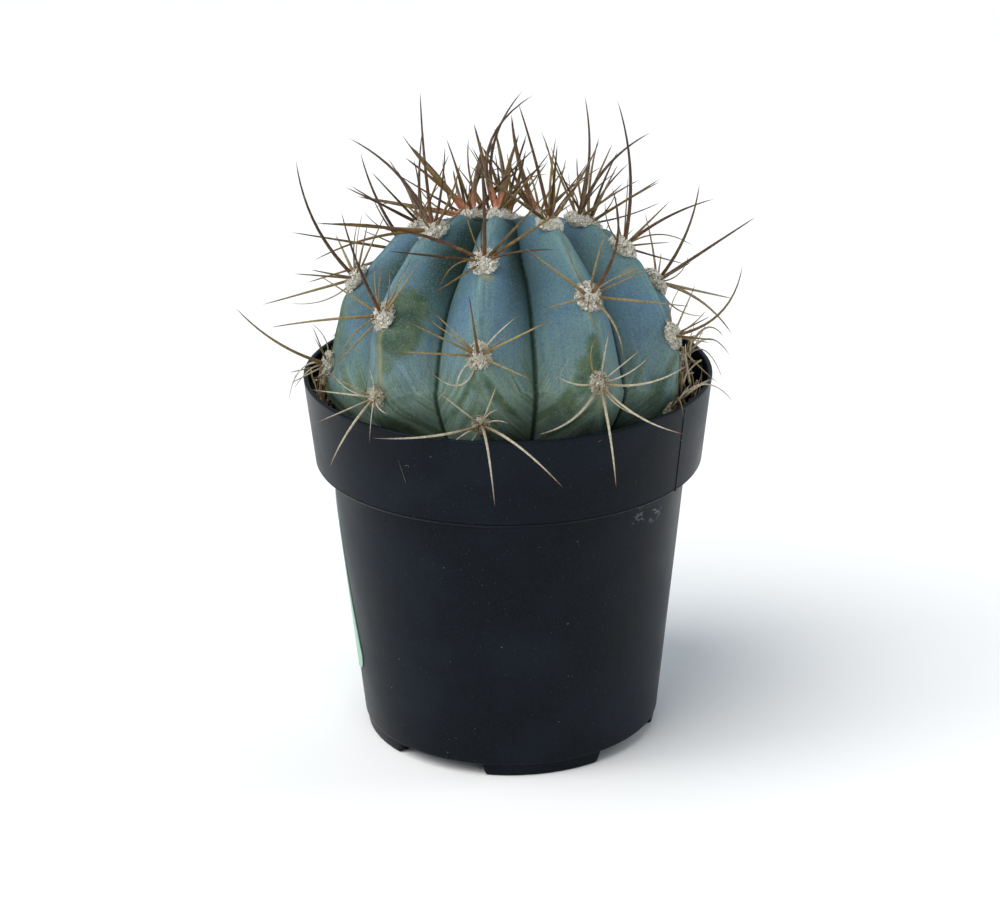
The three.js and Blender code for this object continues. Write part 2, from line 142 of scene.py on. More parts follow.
# %% Room and lights
ROOM_FAR = (0.78, 0.90, 1.0, 1)
ROOM_NEAR = (0.20, 0.22, 0.24, 1)
ROOM_SEEN = (1.0, 1.0, 1.0, 1)
ROOM_STRENGTH = 0.62
ROOM_TURNS = (-0.9, 0.5)  # dim up to the first, bright from the second, 1 being straight ahead
SUN_FROM = (-0.46, -0.34, 1.0)
SUN_POWER = 2.3
SUN_WIDTH = 55  # degrees
SIDE_LIGHTS = [  # name, place, width, height, power
    ("left", (-1.1, -0.25, 0.6), 0.5, 0.9, 4.6),
    ("right", (1.15, 0.15, 0.5), 0.4, 0.9, 3.5),
    ("front", (0.65, -1.20, 0.32), 0.7, 0.6, 2.4),
]
SIDE_COLOUR = (0.88, 0.96, 1.0)
PLANT_MIDDLE = Vector((0, 0, 0.10))


def light_room():
    """A room that is bright all round and dim behind the camera, plain where the camera sees it."""
    world = bpy.data.worlds.new("room")
    bpy.context.scene.world = world
    world.use_nodes = True
    room = Recipe(world.node_tree)
    ahead = room.node("SeparateXYZ", {0: room.node("TexCoord", {}, "Generated")}, "Y")
    shade = room.mix(room.between(ahead, *ROOM_TURNS), ROOM_NEAR, ROOM_FAR)
    seen = [channel / ROOM_STRENGTH for channel in ROOM_SEEN]
    backdrop = room.nodes["Background"]
    room.feed(backdrop.inputs["Color"], room.mix(room.node("LightPath", {}, "Is Camera Ray"), shade, seen))
    room.feed(backdrop.inputs["Strength"], ROOM_STRENGTH)


def hang_light(name, kind, place, power):
    """A light aimed at the plant and hidden from the camera itself."""
    lamp = bpy.data.objects.new(name, bpy.data.lights.new(name, kind))
    lamp.data.energy = power
    lamp.location = place
    lamp.rotation_euler = (PLANT_MIDDLE - Vector(place)).to_track_quat("-Z", "Y").to_euler()
    lamp.visible_camera = False
    bpy.context.scene.collection.objects.link(lamp)
    return lamp.data


light_room()
hang_light("sun", "SUN", SUN_FROM, SUN_POWER).angle = math.radians(SUN_WIDTH)
for name, place, width, height, power in SIDE_LIGHTS:
    side = hang_light(name, "AREA", place, power)
    side.shape = "RECTANGLE"
    side.size = width
    side.size_y = height
    side.color = SIDE_COLOUR
bpy.context.scene.view_settings.view_transform = "Standard"
print("lights:", len(bpy.data.lights))

# %% [markdown]
# ## How finishes are written
#
# A material is a recipe too. Most of its steps lay clouds of a second colour over the first: noise
# with a scale and a detail, and the span of its values over which the second colour comes in.
# Patterns follow the piece's own coordinates, which are metres, so a scale of 1000 gives features of
# about a millimetre.

# %% Finishes


def srgb(red, green, blue):
    """A colour as seen on a screen, 0 to 255, as the linear colour that shaders take."""
    values = [c / 255 for c in (red, green, blue)]
    return tuple(c / 12.92 if c <= 0.04045 else ((c + 0.055) / 1.055) ** 2.4 for c in values) + (1,)


class Finish(Recipe):
    """A material, as a recipe for one surface."""

    def __init__(self, name, **constants):
        self.material = bpy.data.materials.new(name)
        self.material.use_nodes = True
        super().__init__(self.material.node_tree)
        self.surface = self.nodes["Principled BSDF"]
        self.place = self.node("TexCoord", {}, "Object")
        for socket, value in constants.items():
            self.surface.inputs[socket.replace("_", " ")].default_value = value

    def noise(self, scale, detail=2.0, place=None, roughness=0.5):
        """Cloudy noise between 0 and 1, mostly near 0.5."""
        inputs = {"Vector": place or self.place, "Scale": scale, "Detail": detail, "Roughness": roughness}
        return self.node("TexNoise", inputs)

    def clouded(self, colour, other, scale, detail, low, high, most=1.0):
        """A colour with clouds of another, which grow from nothing at low to their most at high."""
        return self.mix(self.between(self.noise(scale, detail), low, high, 0.0, most), colour, other)

    def stretched(self, place, scale):
        """A place stretched along its axes, for streaks."""
        return self.node("Mapping", {"Vector": place, "Scale": scale})

    def math(self, operation, first, second):
        """One sum of two numbers."""
        return self.node("Math", {0: first, 1: second}, operation=operation)

    def times(self, first, second):
        """The product of two numbers."""
        return self.math("MULTIPLY", first, second)

    def painted(self, name, output="Fac"):
        """What was painted on the mesh's points under a name."""
        return self.node("Attribute", {}, output, attribute_name=name)

    def spots(self, scale, size, share):
        """Small round specks: size in cells, on about that share of the cells."""
        cells = self.node("TexVoronoi", {"Vector": self.place, "Scale": scale}, "Color")
        disc = self.between(cells.node.outputs["Distance"], size, size / 2)
        return self.times(disc, self.math("LESS_THAN", self.node("SeparateColor", {0: cells}), share))

    def near(self, spot, reach):
        """1 at a spot given in millimetres, falling to 0 at the reach."""
        inputs = {0: self.place, 1: [c * MM for c in spot]}
        gap = self.node("VectorMath", inputs, "Value", operation="DISTANCE")
        return self.between(gap, reach * MM, reach * MM * 0.3)

    def bump(self, height, depth, below=None):
        """Surface relief, its depth in millimetres."""
        inputs = {"Height": height, "Strength": 1.0, "Distance": depth * MM}
        if below:
            inputs["Normal"] = below
        return self.node("Bump", inputs)

    def finish(self, colour, roughness=None, normal=None):
        """Joins the surface to its colour, roughness and relief."""
        for socket, value in (("Base Color", colour), ("Roughness", roughness), ("Normal", normal)):
            if value is not None:
                self.feed(self.surface.inputs[socket], value)
        return self.material


# %% [markdown]
# ## How pieces are finished
#
# Every piece is shaped in a bmesh in millimetres. When it is done it is scaled to metres, gets its
# material and rides on the one body of the frame, and the plain solids that it stands for are hidden.
# Edges that turn by more than 35 degrees stay crisp, the others are shaded smooth.

# %% Pieces
CRISP_ANGLE = math.radians(35)


def as_mesh(bm, name="part"):
    """A bmesh as a plain mesh. The bmesh is used up."""
    mesh = bpy.data.meshes.new(name)
    bm.to_mesh(mesh)
    bm.free()
    return mesh


def new_object(name, bm):
    """An object in the scene from a bmesh, which is used up."""
    made = bpy.data.objects.new(name, as_mesh(bm, name))
    bpy.context.scene.collection.objects.link(made)
    return made


def finish_piece(name, bm, material, slot, *nodes):
    """A finished piece that stands for the named nodes of the frame."""
    bmesh.ops.scale(bm, vec=(MM, MM, MM), verts=bm.verts)
    piece = new_object(name, bm)
    piece.data.materials.append(material)
    piece.data.shade_smooth()
    piece.data.set_sharp_from_angle(angle=CRISP_ANGLE)
    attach(piece, "root")
    if nodes:
        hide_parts(*nodes)
    return piece


def combined(body, tool, operation):
    """A body joined with a tool or cut by it. Both bmeshes are used up."""
    body, tool = new_object("body", body), new_object("tool", tool)
    change = body.modifiers.new("change", "BOOLEAN")
    change.operation = operation
    change.object = tool
    change.solver = "EXACT"
    evaluated = body.evaluated_get(bpy.context.evaluated_depsgraph_get())
    result = bmesh.new()
    result.from_mesh(evaluated.to_mesh())
    for used in (body, tool):
        bpy.data.meshes.remove(used.data)
    return result


def poured_together(parts):
    """Several bmeshes in one, each still a body of its own."""
    bm = bmesh.new()
    for item in parts:
        mesh = as_mesh(item)
        bm.from_mesh(mesh)
        bpy.data.meshes.remove(mesh)
    return bm


def smooth_step(low, high, value):
    """0 below low, 1 above high and an even curve between, for numbers and arrays."""
    share = np.clip((np.asarray(value, float) - low) / (high - low), 0, 1)
    return share * share * (3 - 2 * share)


# %% [markdown]
# ## The pot
#
# It is a moulded nursery pot: a tapered cup with a deep collar that makes its rim stiff, low feet
# that lift it off the table, and drain holes. A mould makes such a shape by turning, so its outline
# is spun round the Z axis. Two points close to each corner keep the rounding of the edges from
# bending the light on the long walls.

# %% The pot's sizes
GAP = 0.3
POT_HEIGHT = 97.5
RIM_RADIUS = 52.5
COLLAR_HEIGHT = 23.8
COLLAR_FOOT_RADIUS = 49.9
SHOULDER_RADIUS = 46
BASE_RADIUS = 39
FOOT_HEIGHT = 3.3
WALL = 1.2
POT_STEPS = 160
EDGE_ROUNDING = 0.4
EDGE_SUPPORT = 1.0  # from a corner to the points close to it
STEP_ROUNDING = 1.3  # of the collar's lower edge
COLLAR_BOTTOM = POT_HEIGHT - COLLAR_HEIGHT
MERGED = 1e-4  # points closer than this are one
LEVEL = 0.1  # heights closer than this are the same corner's


def pot_radius(z):
    """Radius of the pot's outside at a height, for numbers and arrays."""
    collar = COLLAR_FOOT_RADIUS + (RIM_RADIUS - COLLAR_FOOT_RADIUS) * (z - COLLAR_BOTTOM) / COLLAR_HEIGHT
    taper = (z - FOOT_HEIGHT) / (COLLAR_BOTTOM - FOOT_HEIGHT)
    return np.where(z > COLLAR_BOTTOM, collar, BASE_RADIUS + (SHOULDER_RADIUS - BASE_RADIUS) * taper)


def round_axis(azimuth, reach, z):
    """A point at a reach from the Z axis, `azimuth` degrees from the front towards +X."""
    angle = math.radians(azimuth)
    return Vector((math.sin(angle) * reach, -math.cos(angle) * reach, z))


def on_wall(azimuth, z, above=0.0):
    """A point on the pot's outside, or a little above it."""
    return round_axis(azimuth, float(pot_radius(z)) + above, z)


# %% Spinning an outline


def supported(outline, margin):
    """The outline with a point close to both ends of each long stretch."""
    points = [outline[0]]
    for (r0, z0), (r1, z1) in zip(outline, outline[1:]):
        length = math.hypot(r1 - r0, z1 - z0)
        if length > 3 * margin:
            for share in (margin / length, 1 - margin / length):
                points.append((r0 + (r1 - r0) * share, z0 + (z1 - z0) * share))
        points.append((r1, z1))
    return points


def spun(outline, steps):
    """A solid of revolution from an outline that starts and ends on the Z axis."""
    bm = bmesh.new()
    points = [bm.verts.new((r, 0, z)) for r, z in outline]
    edges = [bm.edges.new(pair) for pair in zip(points, points[1:])]
    bmesh.ops.spin(bm, geom=points + edges, cent=(0, 0, 0), axis=(0, 0, 1), angle=math.tau,
                   steps=steps, use_merge=True)
    bmesh.ops.remove_doubles(bm, verts=bm.verts, dist=MERGED)
    bmesh.ops.recalc_face_normals(bm, faces=bm.faces)
    return bm


def rounded(bm, edges, offset, segments=3):
    """Rounds some edges off."""
    bmesh.ops.bevel(bm, geom=edges, offset=offset, segments=segments, profile=0.5, affect="EDGES",
                    material=-1)


# %% The cup


def pot_cup():
    """The cup with its collar, walls all of one thickness."""
    floor_top = FOOT_HEIGHT + WALL
    ledge = COLLAR_BOTTOM + WALL
    cup = spun(supported([
        (0, FOOT_HEIGHT),
        (BASE_RADIUS, FOOT_HEIGHT),
        (SHOULDER_RADIUS, COLLAR_BOTTOM),
        (COLLAR_FOOT_RADIUS, COLLAR_BOTTOM),
        (RIM_RADIUS, POT_HEIGHT),
        (RIM_RADIUS - WALL, POT_HEIGHT),
        (float(pot_radius(ledge)) - WALL, ledge),
        (SHOULDER_RADIUS - WALL, ledge),
        (float(pot_radius(floor_top)) - WALL, floor_top),
        (0, floor_top),
    ], EDGE_SUPPORT), POT_STEPS)
    corners = [edge for edge in cup.edges if edge.calc_face_angle(0) > CRISP_ANGLE]
    step = [edge for edge in corners if all(abs(v.co.z - COLLAR_BOTTOM) < LEVEL for v in edge.verts)
            and edge.verts[0].co.xy.length > SHOULDER_RADIUS + WALL]
    others = [edge for edge in corners if edge not in set(step)]
    rounded(cup, step, STEP_ROUNDING)
    rounded(cup, [edge for edge in others if edge.is_valid], EDGE_ROUNDING)
    return cup


# %% [markdown]
# The four feet are arcs of a ring under the floor, with ends that slant in towards the table. One
# quad, spun through the foot's width, gives each of them. The drain holes are cut with plain
# cylinders, and the join and the cuts are booleans, as the shapes really are one piece of plastic.

# %% Feet and drain holes
FOOT_AZIMUTHS = [-73, 12.5, 98.5, 192.5]
FOOT_TOP_SPAN = 51
FOOT_BOTTOM_SPAN = 45.5
FOOT_OUTER = 38.3
FOOT_INNER = 29
FOOT_STEPS = 16
FOOT_ROUNDING = 0.6
DRAIN_COUNT = 4
DRAIN_RADIUS = 4
DRAIN_RING = 26
DRAIN_AZIMUTH = 57.5
DRAIN_SIDES = 32


def pot_foot(azimuth):
    """One foot, its top sunk in the floor."""
    bm = bmesh.new()
    top = FOOT_HEIGHT + WALL / 2
    corners = ((FOOT_INNER, 0), (FOOT_OUTER, 0), (FOOT_OUTER, top), (FOOT_INNER, top))
    side = bm.faces.new([bm.verts.new((r, 0, z)) for r, z in corners])
    span = math.radians(FOOT_TOP_SPAN)
    geometry = [side, *side.edges, *side.verts]
    bmesh.ops.spin(bm, geom=geometry, cent=(0, 0, 0), axis=(0, 0, 1), angle=span, steps=FOOT_STEPS)
    narrowing = 1 - FOOT_BOTTOM_SPAN / FOOT_TOP_SPAN
    for vert in bm.verts:
        squeeze = 1 - narrowing * max(0, 1 - vert.co.z / FOOT_HEIGHT)
        angle = (math.atan2(vert.co.y, vert.co.x) - span / 2) * squeeze + math.radians(azimuth - 90)
        reach = math.hypot(vert.co.x, vert.co.y)
        vert.co.x = reach * math.cos(angle)
        vert.co.y = reach * math.sin(angle)
    bmesh.ops.recalc_face_normals(bm, faces=bm.faces)
    sole = [edge for edge in bm.edges if min(vert.co.z for vert in edge.verts) < 1]
    rounded(bm, [edge for edge in sole if edge.calc_face_angle(0) > CRISP_ANGLE], FOOT_ROUNDING)
    return bm


def drain_hole(azimuth, reach):
    """A cutter for one hole in the floor."""
    bm = bmesh.new()
    place = Matrix.Translation(round_axis(azimuth, reach, FOOT_HEIGHT))
    bmesh.ops.create_cone(bm, cap_ends=True, segments=DRAIN_SIDES, radius1=DRAIN_RADIUS,
                          radius2=DRAIN_RADIUS, depth=3 * FOOT_HEIGHT, matrix=place)
    return bm


feet = poured_together([pot_foot(azimuth) for azimuth in FOOT_AZIMUTHS])
drains = [drain_hole(DRAIN_AZIMUTH + 360 / DRAIN_COUNT * k, DRAIN_RING) for k in range(DRAIN_COUNT)]
holes = poured_together([drain_hole(0, 0), *drains])
pot_mesh = combined(combined(pot_cup(), feet, "UNION"), holes, "DIFFERENCE")
print("pot:", len(pot_mesh.faces), "faces")

# %% [markdown]
# The plastic is a very dark blue-black with a satin skin. Real pots are never clean: fine dust
# and specks settle on them, watering leaves a haze, and shelves leave pale scuffs. The relief is a
# faint orange peel from the mould.

# %% The pot's plastic
POT_DARK = srgb(4, 9, 16)
POT_DUSTY = srgb(23, 35, 47)
DUST_SPECK = srgb(96, 104, 108)
SCUFF = srgb(150, 160, 168)
SPECKS = [(420, 0.13, 0.06, 0.5), (1300, 0.22, 0.05, 0.3)]  # scale, size, share of cells, strength
SCUFFS = [  # azimuth, height, reach
    (53.7, 68.6, 4.5),
    (45.8, 69.2, 4),
    (-120, 40, 7),
    (170, 62, 8),
]


def pot_plastic():
    """Satin plastic with dust, haze and scuffs."""
    f = Finish("pot_plastic", Specular_IOR_Level=0.11, IOR=1.5)
    haze = f.noise(45, 4)
    colour = f.mix(f.between(haze, 0.40, 0.72, 0.0, 0.34), POT_DARK, POT_DUSTY)
    colour = f.clouded(colour, POT_DUSTY, 2200, 2, 0.50, 0.72, 0.45)
    for scale, size, share, strength in SPECKS:
        colour = f.mix(f.times(f.spots(scale, size, share), strength), colour, DUST_SPECK)
    scratches = f.between(f.noise(330, 6, f.stretched(f.place, (1, 1, 2)), 0.75), 0.54, 0.62)
    for azimuth, z, reach in SCUFFS:
        there = f.times(f.near(on_wall(azimuth, z), reach), scratches)
        colour = f.mix(f.times(there, 0.42), colour, SCUFF)
    roughness = f.between(haze, 0.3, 0.75, 0.34, 0.46)
    peel = f.bump(f.noise(700, 3), 0.010)
    return f.finish(colour, roughness, f.bump(f.noise(90, 2), 0.05, peel))


# %% [markdown]
# Where the two halves of the mould met, a thin raised line runs up the collar. It is a cube drawn out
# to a strip with rounded long edges, leant against the wall and turned to lie flat on it. A second
# one is opposite, as a mould parts along its middle.

# %% The mould's seam
SEAM_AZIMUTH = 56.4
SEAM_WIDTH = 0.5
SEAM_HEIGHT = 0.16
SEAM_ROUNDING = 0.1
SEAM_FROM = COLLAR_BOTTOM + 0.5
SEAM_TO = POT_HEIGHT - 1


def mould_seam(azimuth):
    """A thin raised line up the collar, half sunk in it."""
    bm = bmesh.new()
    bmesh.ops.create_cube(bm, size=1)
    length = SEAM_TO - SEAM_FROM
    bmesh.ops.scale(bm, vec=(SEAM_WIDTH, 2 * SEAM_HEIGHT, length), verts=bm.verts)
    long_edges = [e for e in bm.edges if abs(e.verts[0].co.z - e.verts[1].co.z) > length / 2]
    rounded(bm, long_edges, SEAM_ROUNDING, segments=2)
    foot, head = on_wall(azimuth, SEAM_FROM), on_wall(azimuth, SEAM_TO)
    lean = (head - foot).to_track_quat("Z", "Y").to_matrix().to_4x4()
    upright = Matrix.Translation(foot.lerp(head, 0.5)) @ lean
    turn = Matrix.Rotation(math.radians(azimuth), 4, "Z")
    flat_turn = upright.to_3x3().inverted() @ turn.to_3x3()
    twist = Matrix.Rotation(math.atan2(flat_turn[1][0], flat_turn[0][0]), 4, "Z")
    bmesh.ops.transform(bm, matrix=upright @ twist, verts=bm.verts)
    return bm


seams = [mould_seam(azimuth) for azimuth in (SEAM_AZIMUTH, SEAM_AZIMUTH + 180)]
pot = finish_piece("pot_body", poured_together([pot_mesh, *seams]), pot_plastic(), "pot_plastic", "pot")
print("pot:", len(pot.data.polygons), "faces")

# %% [markdown]
# ## The label
#
# A blank mint sticker wraps round the left side, so that only its edge shows from the front. It is a
# thin sheet with round corners: a grid, drawn in at the corners, bent round the taper and thickened.
# An open sheet has no inside, so its faces are turned outwards where they point to the pot's axis.

# %% Label
LABEL_WIDTH = 35
LABEL_HEIGHT = 48.5
LABEL_CORNER = 5
LABEL_MIDDLE = 38  # height of the label's middle
LABEL_AZIMUTH = -102.2
LABEL_SLANT = 14  # degrees, its foot turned to the front
LABEL_THICKNESS = 0.22
LABEL_LIFT = 0.08
LABEL_GRID = (28, 60)
MINT = srgb(150, 190, 168)
MINT_YELLOWED = srgb(145, 185, 163)
MINT_PALE = srgb(170, 200, 184)


def label_sheet():
    """The sticker, bent round the pot."""
    bm = bmesh.new()
    bmesh.ops.create_grid(bm, x_segments=LABEL_GRID[0], y_segments=LABEL_GRID[1], size=0.5)
    slant = math.radians(LABEL_SLANT)
    for vert in bm.verts:
        x, y = vert.co.x * LABEL_WIDTH, vert.co.y * LABEL_HEIGHT
        past = max(0, abs(y) - (LABEL_HEIGHT / 2 - LABEL_CORNER))
        inset = LABEL_CORNER - math.sqrt(max(0, LABEL_CORNER ** 2 - past ** 2))
        x *= 1 - inset / (LABEL_WIDTH / 2)
        across = x * math.cos(slant) - y * math.sin(slant)
        z = LABEL_MIDDLE + y * math.cos(slant) + x * math.sin(slant)
        vert.co = on_wall(LABEL_AZIMUTH + math.degrees(across / float(pot_radius(z))), z, LABEL_LIFT)
    bmesh.ops.recalc_face_normals(bm, faces=bm.faces)
    level = Vector((1, 1, 0))
    if sum(face.normal.dot(face.calc_center_median() * level) for face in bm.faces) < 0:
        bmesh.ops.reverse_faces(bm, faces=bm.faces)
    bmesh.ops.solidify(bm, geom=bm.faces, thickness=-LABEL_THICKNESS)
    bmesh.ops.recalc_face_normals(bm, faces=bm.faces)
    return bm


def label_paper():
    """Pale mint coated paper with a faint fibre and slightly yellowed patches."""
    f = Finish("label_paper", Specular_IOR_Level=0.4)
    colour = f.clouded(MINT, MINT_YELLOWED, 60, 3, 0.42, 0.66)
    colour = f.clouded(colour, MINT_PALE, 1500, 3, 0.5, 0.75, 0.4)
    roughness = f.between(f.noise(300), 0.3, 0.7, 0.42, 0.56)
    return f.finish(colour, roughness, f.bump(f.noise(2400, 2), 0.01))


label = finish_piece("label_sticker", label_sheet(), label_paper(), "label_paper", "label")
print("label:", len(label.data.polygons), "faces")

# %% [markdown]
# ## The stem's outline
#
# The plant leans back a little in its pot, so it has a frame of its own. The crest of a rib follows
# one outline: powers of the cosine and sine of a latitude, which makes a globe that is a bit boxy
# above and tapers to the roots below, with a dimple in the crown. Distances along that outline,
# measured from the crown, say where on a rib something grows.

# %% Stem sizes
STEM_RADIUS = 45.8
STEM_RISE = 45.5
STEM_DROP = 30
RISE_POWER = 0.88
DROP_POWER = 1.33
DIMPLE = 3
DIMPLE_RADIUS = 9
VALLEY_DEPTH = 9.5
VALLEY_POWER = 1.4
VALLEY_DEEPENS = (3, 30)
VALLEY_ENDS = (50, 120)
CREST_STEPS = 1200
ARC_STEP = 0.5  # on both sides of a place, to find the crest's direction there
POLE = 0.99999  # heights on a ball of radius 1 from which on a point is a pole
STEM_CENTRE = (0, -2.3, 92.7)
LEAN_BACK = 18.4  # degrees
PLANT = Matrix.Translation(STEM_CENTRE) @ Matrix.Rotation(-math.radians(LEAN_BACK), 4, "X")
PLANT_TURN = np.array(PLANT.to_3x3())
SKY = PLANT_TURN.T @ np.array((0.0, 0.0, 1.0))
RIB_AZIMUTHS = {"d": -85, "c": -45, "a": -9, "b": 28.5, "e": 66.5, "f": 102, "g": 145, "h": 190, "i": 232}
RIB_NAMES = list(RIB_AZIMUTHS)
RIB_COUNT = len(RIB_NAMES)

# %% The crest's outline


def to_world(points):
    """Points of the plant's frame in the pot's frame."""
    return np.asarray(points) @ PLANT_TURN.T + np.array(STEM_CENTRE)


def crest_outline():
    """Radii and heights of the crest from the crown to the root neck, with the arc at each point."""
    latitude = np.pi * (0.5 - np.arange(CREST_STEPS + 1) / CREST_STEPS)
    above = latitude > 0
    cosine = np.maximum(0, np.cos(latitude))
    sine = np.abs(np.sin(latitude))
    radius = STEM_RADIUS * np.where(above, cosine ** RISE_POWER, cosine ** DROP_POWER)
    dimple = DIMPLE * np.exp(-(radius / DIMPLE_RADIUS) ** 2)
    height = np.where(above, STEM_RISE * sine ** RISE_POWER - dimple, -STEM_DROP * sine ** DROP_POWER)
    arcs = np.concatenate([[0], np.cumsum(np.hypot(np.diff(radius), np.diff(height)))])
    return radius, height, arcs


CREST_RADIUS, CREST_HEIGHT, CREST_ARC = crest_outline()
CREST_LENGTH = float(CREST_ARC[-1])
print("crest from crown to root:", round(CREST_LENGTH, 1), "mm")

# %% Places on the skin


class Stand(NamedTuple):
    """A place on the skin with the directions up the rib, out of the skin and to the right."""

    at: np.ndarray
    up: np.ndarray
    out: np.ndarray
    right: np.ndarray


def crest_at(arc):
    """Radius and height at arcs along the crest."""
    aim = np.clip(arc, 0, CREST_LENGTH)
    return np.interp(aim, CREST_ARC, CREST_RADIUS), np.interp(aim, CREST_ARC, CREST_HEIGHT)


def crest_stand(azimuth, arc):
    """The places on crests at azimuths in degrees and arcs in millimetres, as rows."""
    azimuth, arc = np.broadcast_arrays(np.asarray(azimuth, float), np.asarray(arc, float))
    radius, height = crest_at(arc)
    low_radius, low_height = crest_at(arc + ARC_STEP)
    high_radius, high_height = crest_at(np.maximum(0, arc - ARC_STEP))
    fall = np.stack([low_radius - high_radius, low_height - high_height], -1)
    fall /= np.linalg.norm(fall, axis=-1, keepdims=True)
    angle = np.radians(azimuth)
    outward = np.stack([np.sin(angle), -np.cos(angle), np.zeros_like(angle)], -1)
    upright = np.array((0.0, 0.0, 1.0))
    at = outward * radius[..., None] + upright * height[..., None]
    up = -outward * fall[..., :1] - upright * fall[..., 1:]
    out = -outward * fall[..., 1:] + upright * fall[..., :1]
    return Stand(at, up, out, np.cross(up, out))


def rib_azimuth(turn):
    """Azimuth where `turn` whole ribs and parts of one have been passed."""
    azimuths = np.array(list(RIB_AZIMUTHS.values()) + [RIB_AZIMUTHS[RIB_NAMES[0]] + 360], float)
    return np.interp(turn, np.arange(RIB_COUNT + 1), azimuths)


def valley_depth(arc, from_crest):
    """How deep the skin lies at arcs along the crest, from 0 on a crest to 1 in the valley."""
    deepest = VALLEY_DEPTH * smooth_step(*VALLEY_DEEPENS, arc) * (1 - smooth_step(*VALLEY_ENDS, arc))
    return deepest * from_crest ** VALLEY_POWER


def ribbed_ball(bm, points_per_rib, rows):
    """Makes a ball. Gives, for its points, the ribs passed, the arc and whether it is a pole."""
    bmesh.ops.create_uvsphere(bm, u_segments=RIB_COUNT * points_per_rib, v_segments=rows, radius=1)
    ball = np.array([vert.co for vert in bm.verts])
    turn = (np.arctan2(ball[:, 1], ball[:, 0]) % math.tau) / math.tau * RIB_COUNT
    arc = (0.5 - np.arcsin(np.clip(ball[:, 2], -1, 1)) / math.pi) * CREST_LENGTH
    return turn, arc, np.abs(ball[:, 2]) > POLE


# %% [markdown]
# ## Areoles and spines, as a list
#
# An areole is a felt cushion on the crest that spines grow from. Each has its arc from the crown and
# the spines that show best, as clock, lean, length and bow. Clock 0 points up the rib and 90 to the
# right seen from outside, lean is the angle out from the skin in degrees, and bow bends the middle
# sideways, in millimetres. The rest of the spines are drawn by a rule further on.

# %% Areoles
AREOLES = {
    "d1": (22, []),
    "d2": (43.5, [(20, 60, 34, 3), (180, 60, 16, 0), (180, 40, 25, 0), (285, 20, 30, 0),
                  (55, 15, 22, 0), (10, 10, 18, 0)]),
    "d3": (66.5, [(55, 48, 33, 2), (45, 20, 14, 0), (135, 50, 12, 0), (175, 30, 11, 0),
                  (230, 60, 11, 0)]),
    "c1": (12, [(225, 50, 27, 1), (150, 40, 25, 0)]),
    "c2": (26.5, [(355, 65, 35, 0.5), (200, 15, 33, -2), (210, 30, 31, 0), (280, 50, 33, -3),
                  (300, 40, 25, 0)]),
    "c3": (54, [(20, 55, 32, 1), (45, 20, 19, 0), (65, 25, 24, 0), (295, 30, 20, 0),
                (240, 45, 28, -0.5), (195, 25, 18, 0)]),
    "c4": (74, [(310, 30, 14, 0), (290, 40, 16, 0), (250, 40, 16, 0), (175, 56, 23, -1)]),
    "a1": (14, [(325, 60, 24, 0), (16, 65, 33, 4.5), (40, 65, 32, 7)]),
    "a2": (39, [(15, 75, 31, -0.5), (65, 40, 24, 0), (75, 30, 28, 0), (105, 25, 22, 1),
                (270, 20, 41, -3), (255, 25, 25, 0), (215, 15, 19, 0)]),
    "a3": (64, [(270, 30, 23, 0), (295, 30, 21, 0), (315, 25, 16, 0), (5, 60, 24, 0),
                (50, 25, 15, 0.5), (70, 30, 24, 0), (115, 20, 17, 0), (250, 25, 13, 5.5)]),
    "a4": (81.5, [(290, 30, 29, 3), (330, 15, 18, 0), (20, 15, 19, 0), (125, 65, 26, 0),
                  (95, 43, 30, -1.5)]),
    "b1": (23, [(270, 30, 30, 0), (335, 60, 31, -0.5), (355, 60, 23, -2), (220, 60, 29, 0),
                (35, 50, 18, 0)]),
    "b2": (49.5, [(345, 60, 32, -4), (285, 30, 28, 0), (250, 20, 21, 0), (75, 25, 18, 0),
                  (115, 30, 25, 0), (175, 15, 20, 2)]),
    "b3": (71, [(280, 20, 18, 1.5), (245, 25, 30, 2.5), (195, 35, 31, 0.5), (130, 35, 24, -2),
                (75, 40, 23, -2.5), (45, 30, 13, 0)]),
    "e1": (20, [(40, 60, 34, -2), (75, 40, 30, 0), (100, 50, 33, 3), (265, 50, 20, 0)]),
    "e2": (34, [(345, 50, 37, -2.5), (105, 45, 29, 1.5), (80, 35, 22, 0), (250, 15, 15, 0)]),
    "e3": (60, [(30, 50, 25, -4.5), (30, 25, 15, 0), (65, 50, 11, 0), (250, 50, 20, 0)]),
    "e4": (79, [(310, 15, 20, 0), (360, 50, 17, 0)]),
    "f1": (22, []),
    "f2": (45.5, [(335, 50, 28, -2), (140, 40, 29, 0), (155, 25, 30, 2.5), (275, 30, 15, 0),
                  (99, 80, 34, 0)]),
    "f3": (68, [(95, 50, 23, 0), (75, 40, 28, 0)]),
    "g1": (15, []),
    "g2": (37, []),
    "g3": (60, []),
    "h1": (21, []),
    "h2": (43, [(25, 60, 37, 2)]),
    "h3": (63, []),
    "i1": (13, [(155, 15, 30, 0), (150, 35, 22, 0)]),
    "i2": (34, [(130, 40, 32, 0), (165, 25, 32, 0)]),
    "i3": (57, []),
}
PAD_WIDTH = 3.5
PAD_LENGTH = 4.2
PAD_THICKNESS = 2.5
CROWN_RADIUS = 5.8
CROWN_THICKNESS = 4.4
CROWN_SINK = 1

# %% Where they stand
STANDS = {name: crest_stand(RIB_AZIMUTHS[name[0]], arc) for name, (arc, _) in AREOLES.items()}
STANDS["crown"] = Stand(
    at=np.array((0.0, 0.0, CREST_HEIGHT[0] - CROWN_SINK)),
    up=np.array((0.0, 1.0, 0.0)),
    out=np.array((0.0, 0.0, 1.0)),
    right=np.array((1.0, 0.0, 0.0)),
)
print("areoles:", len(AREOLES), "and the crown")

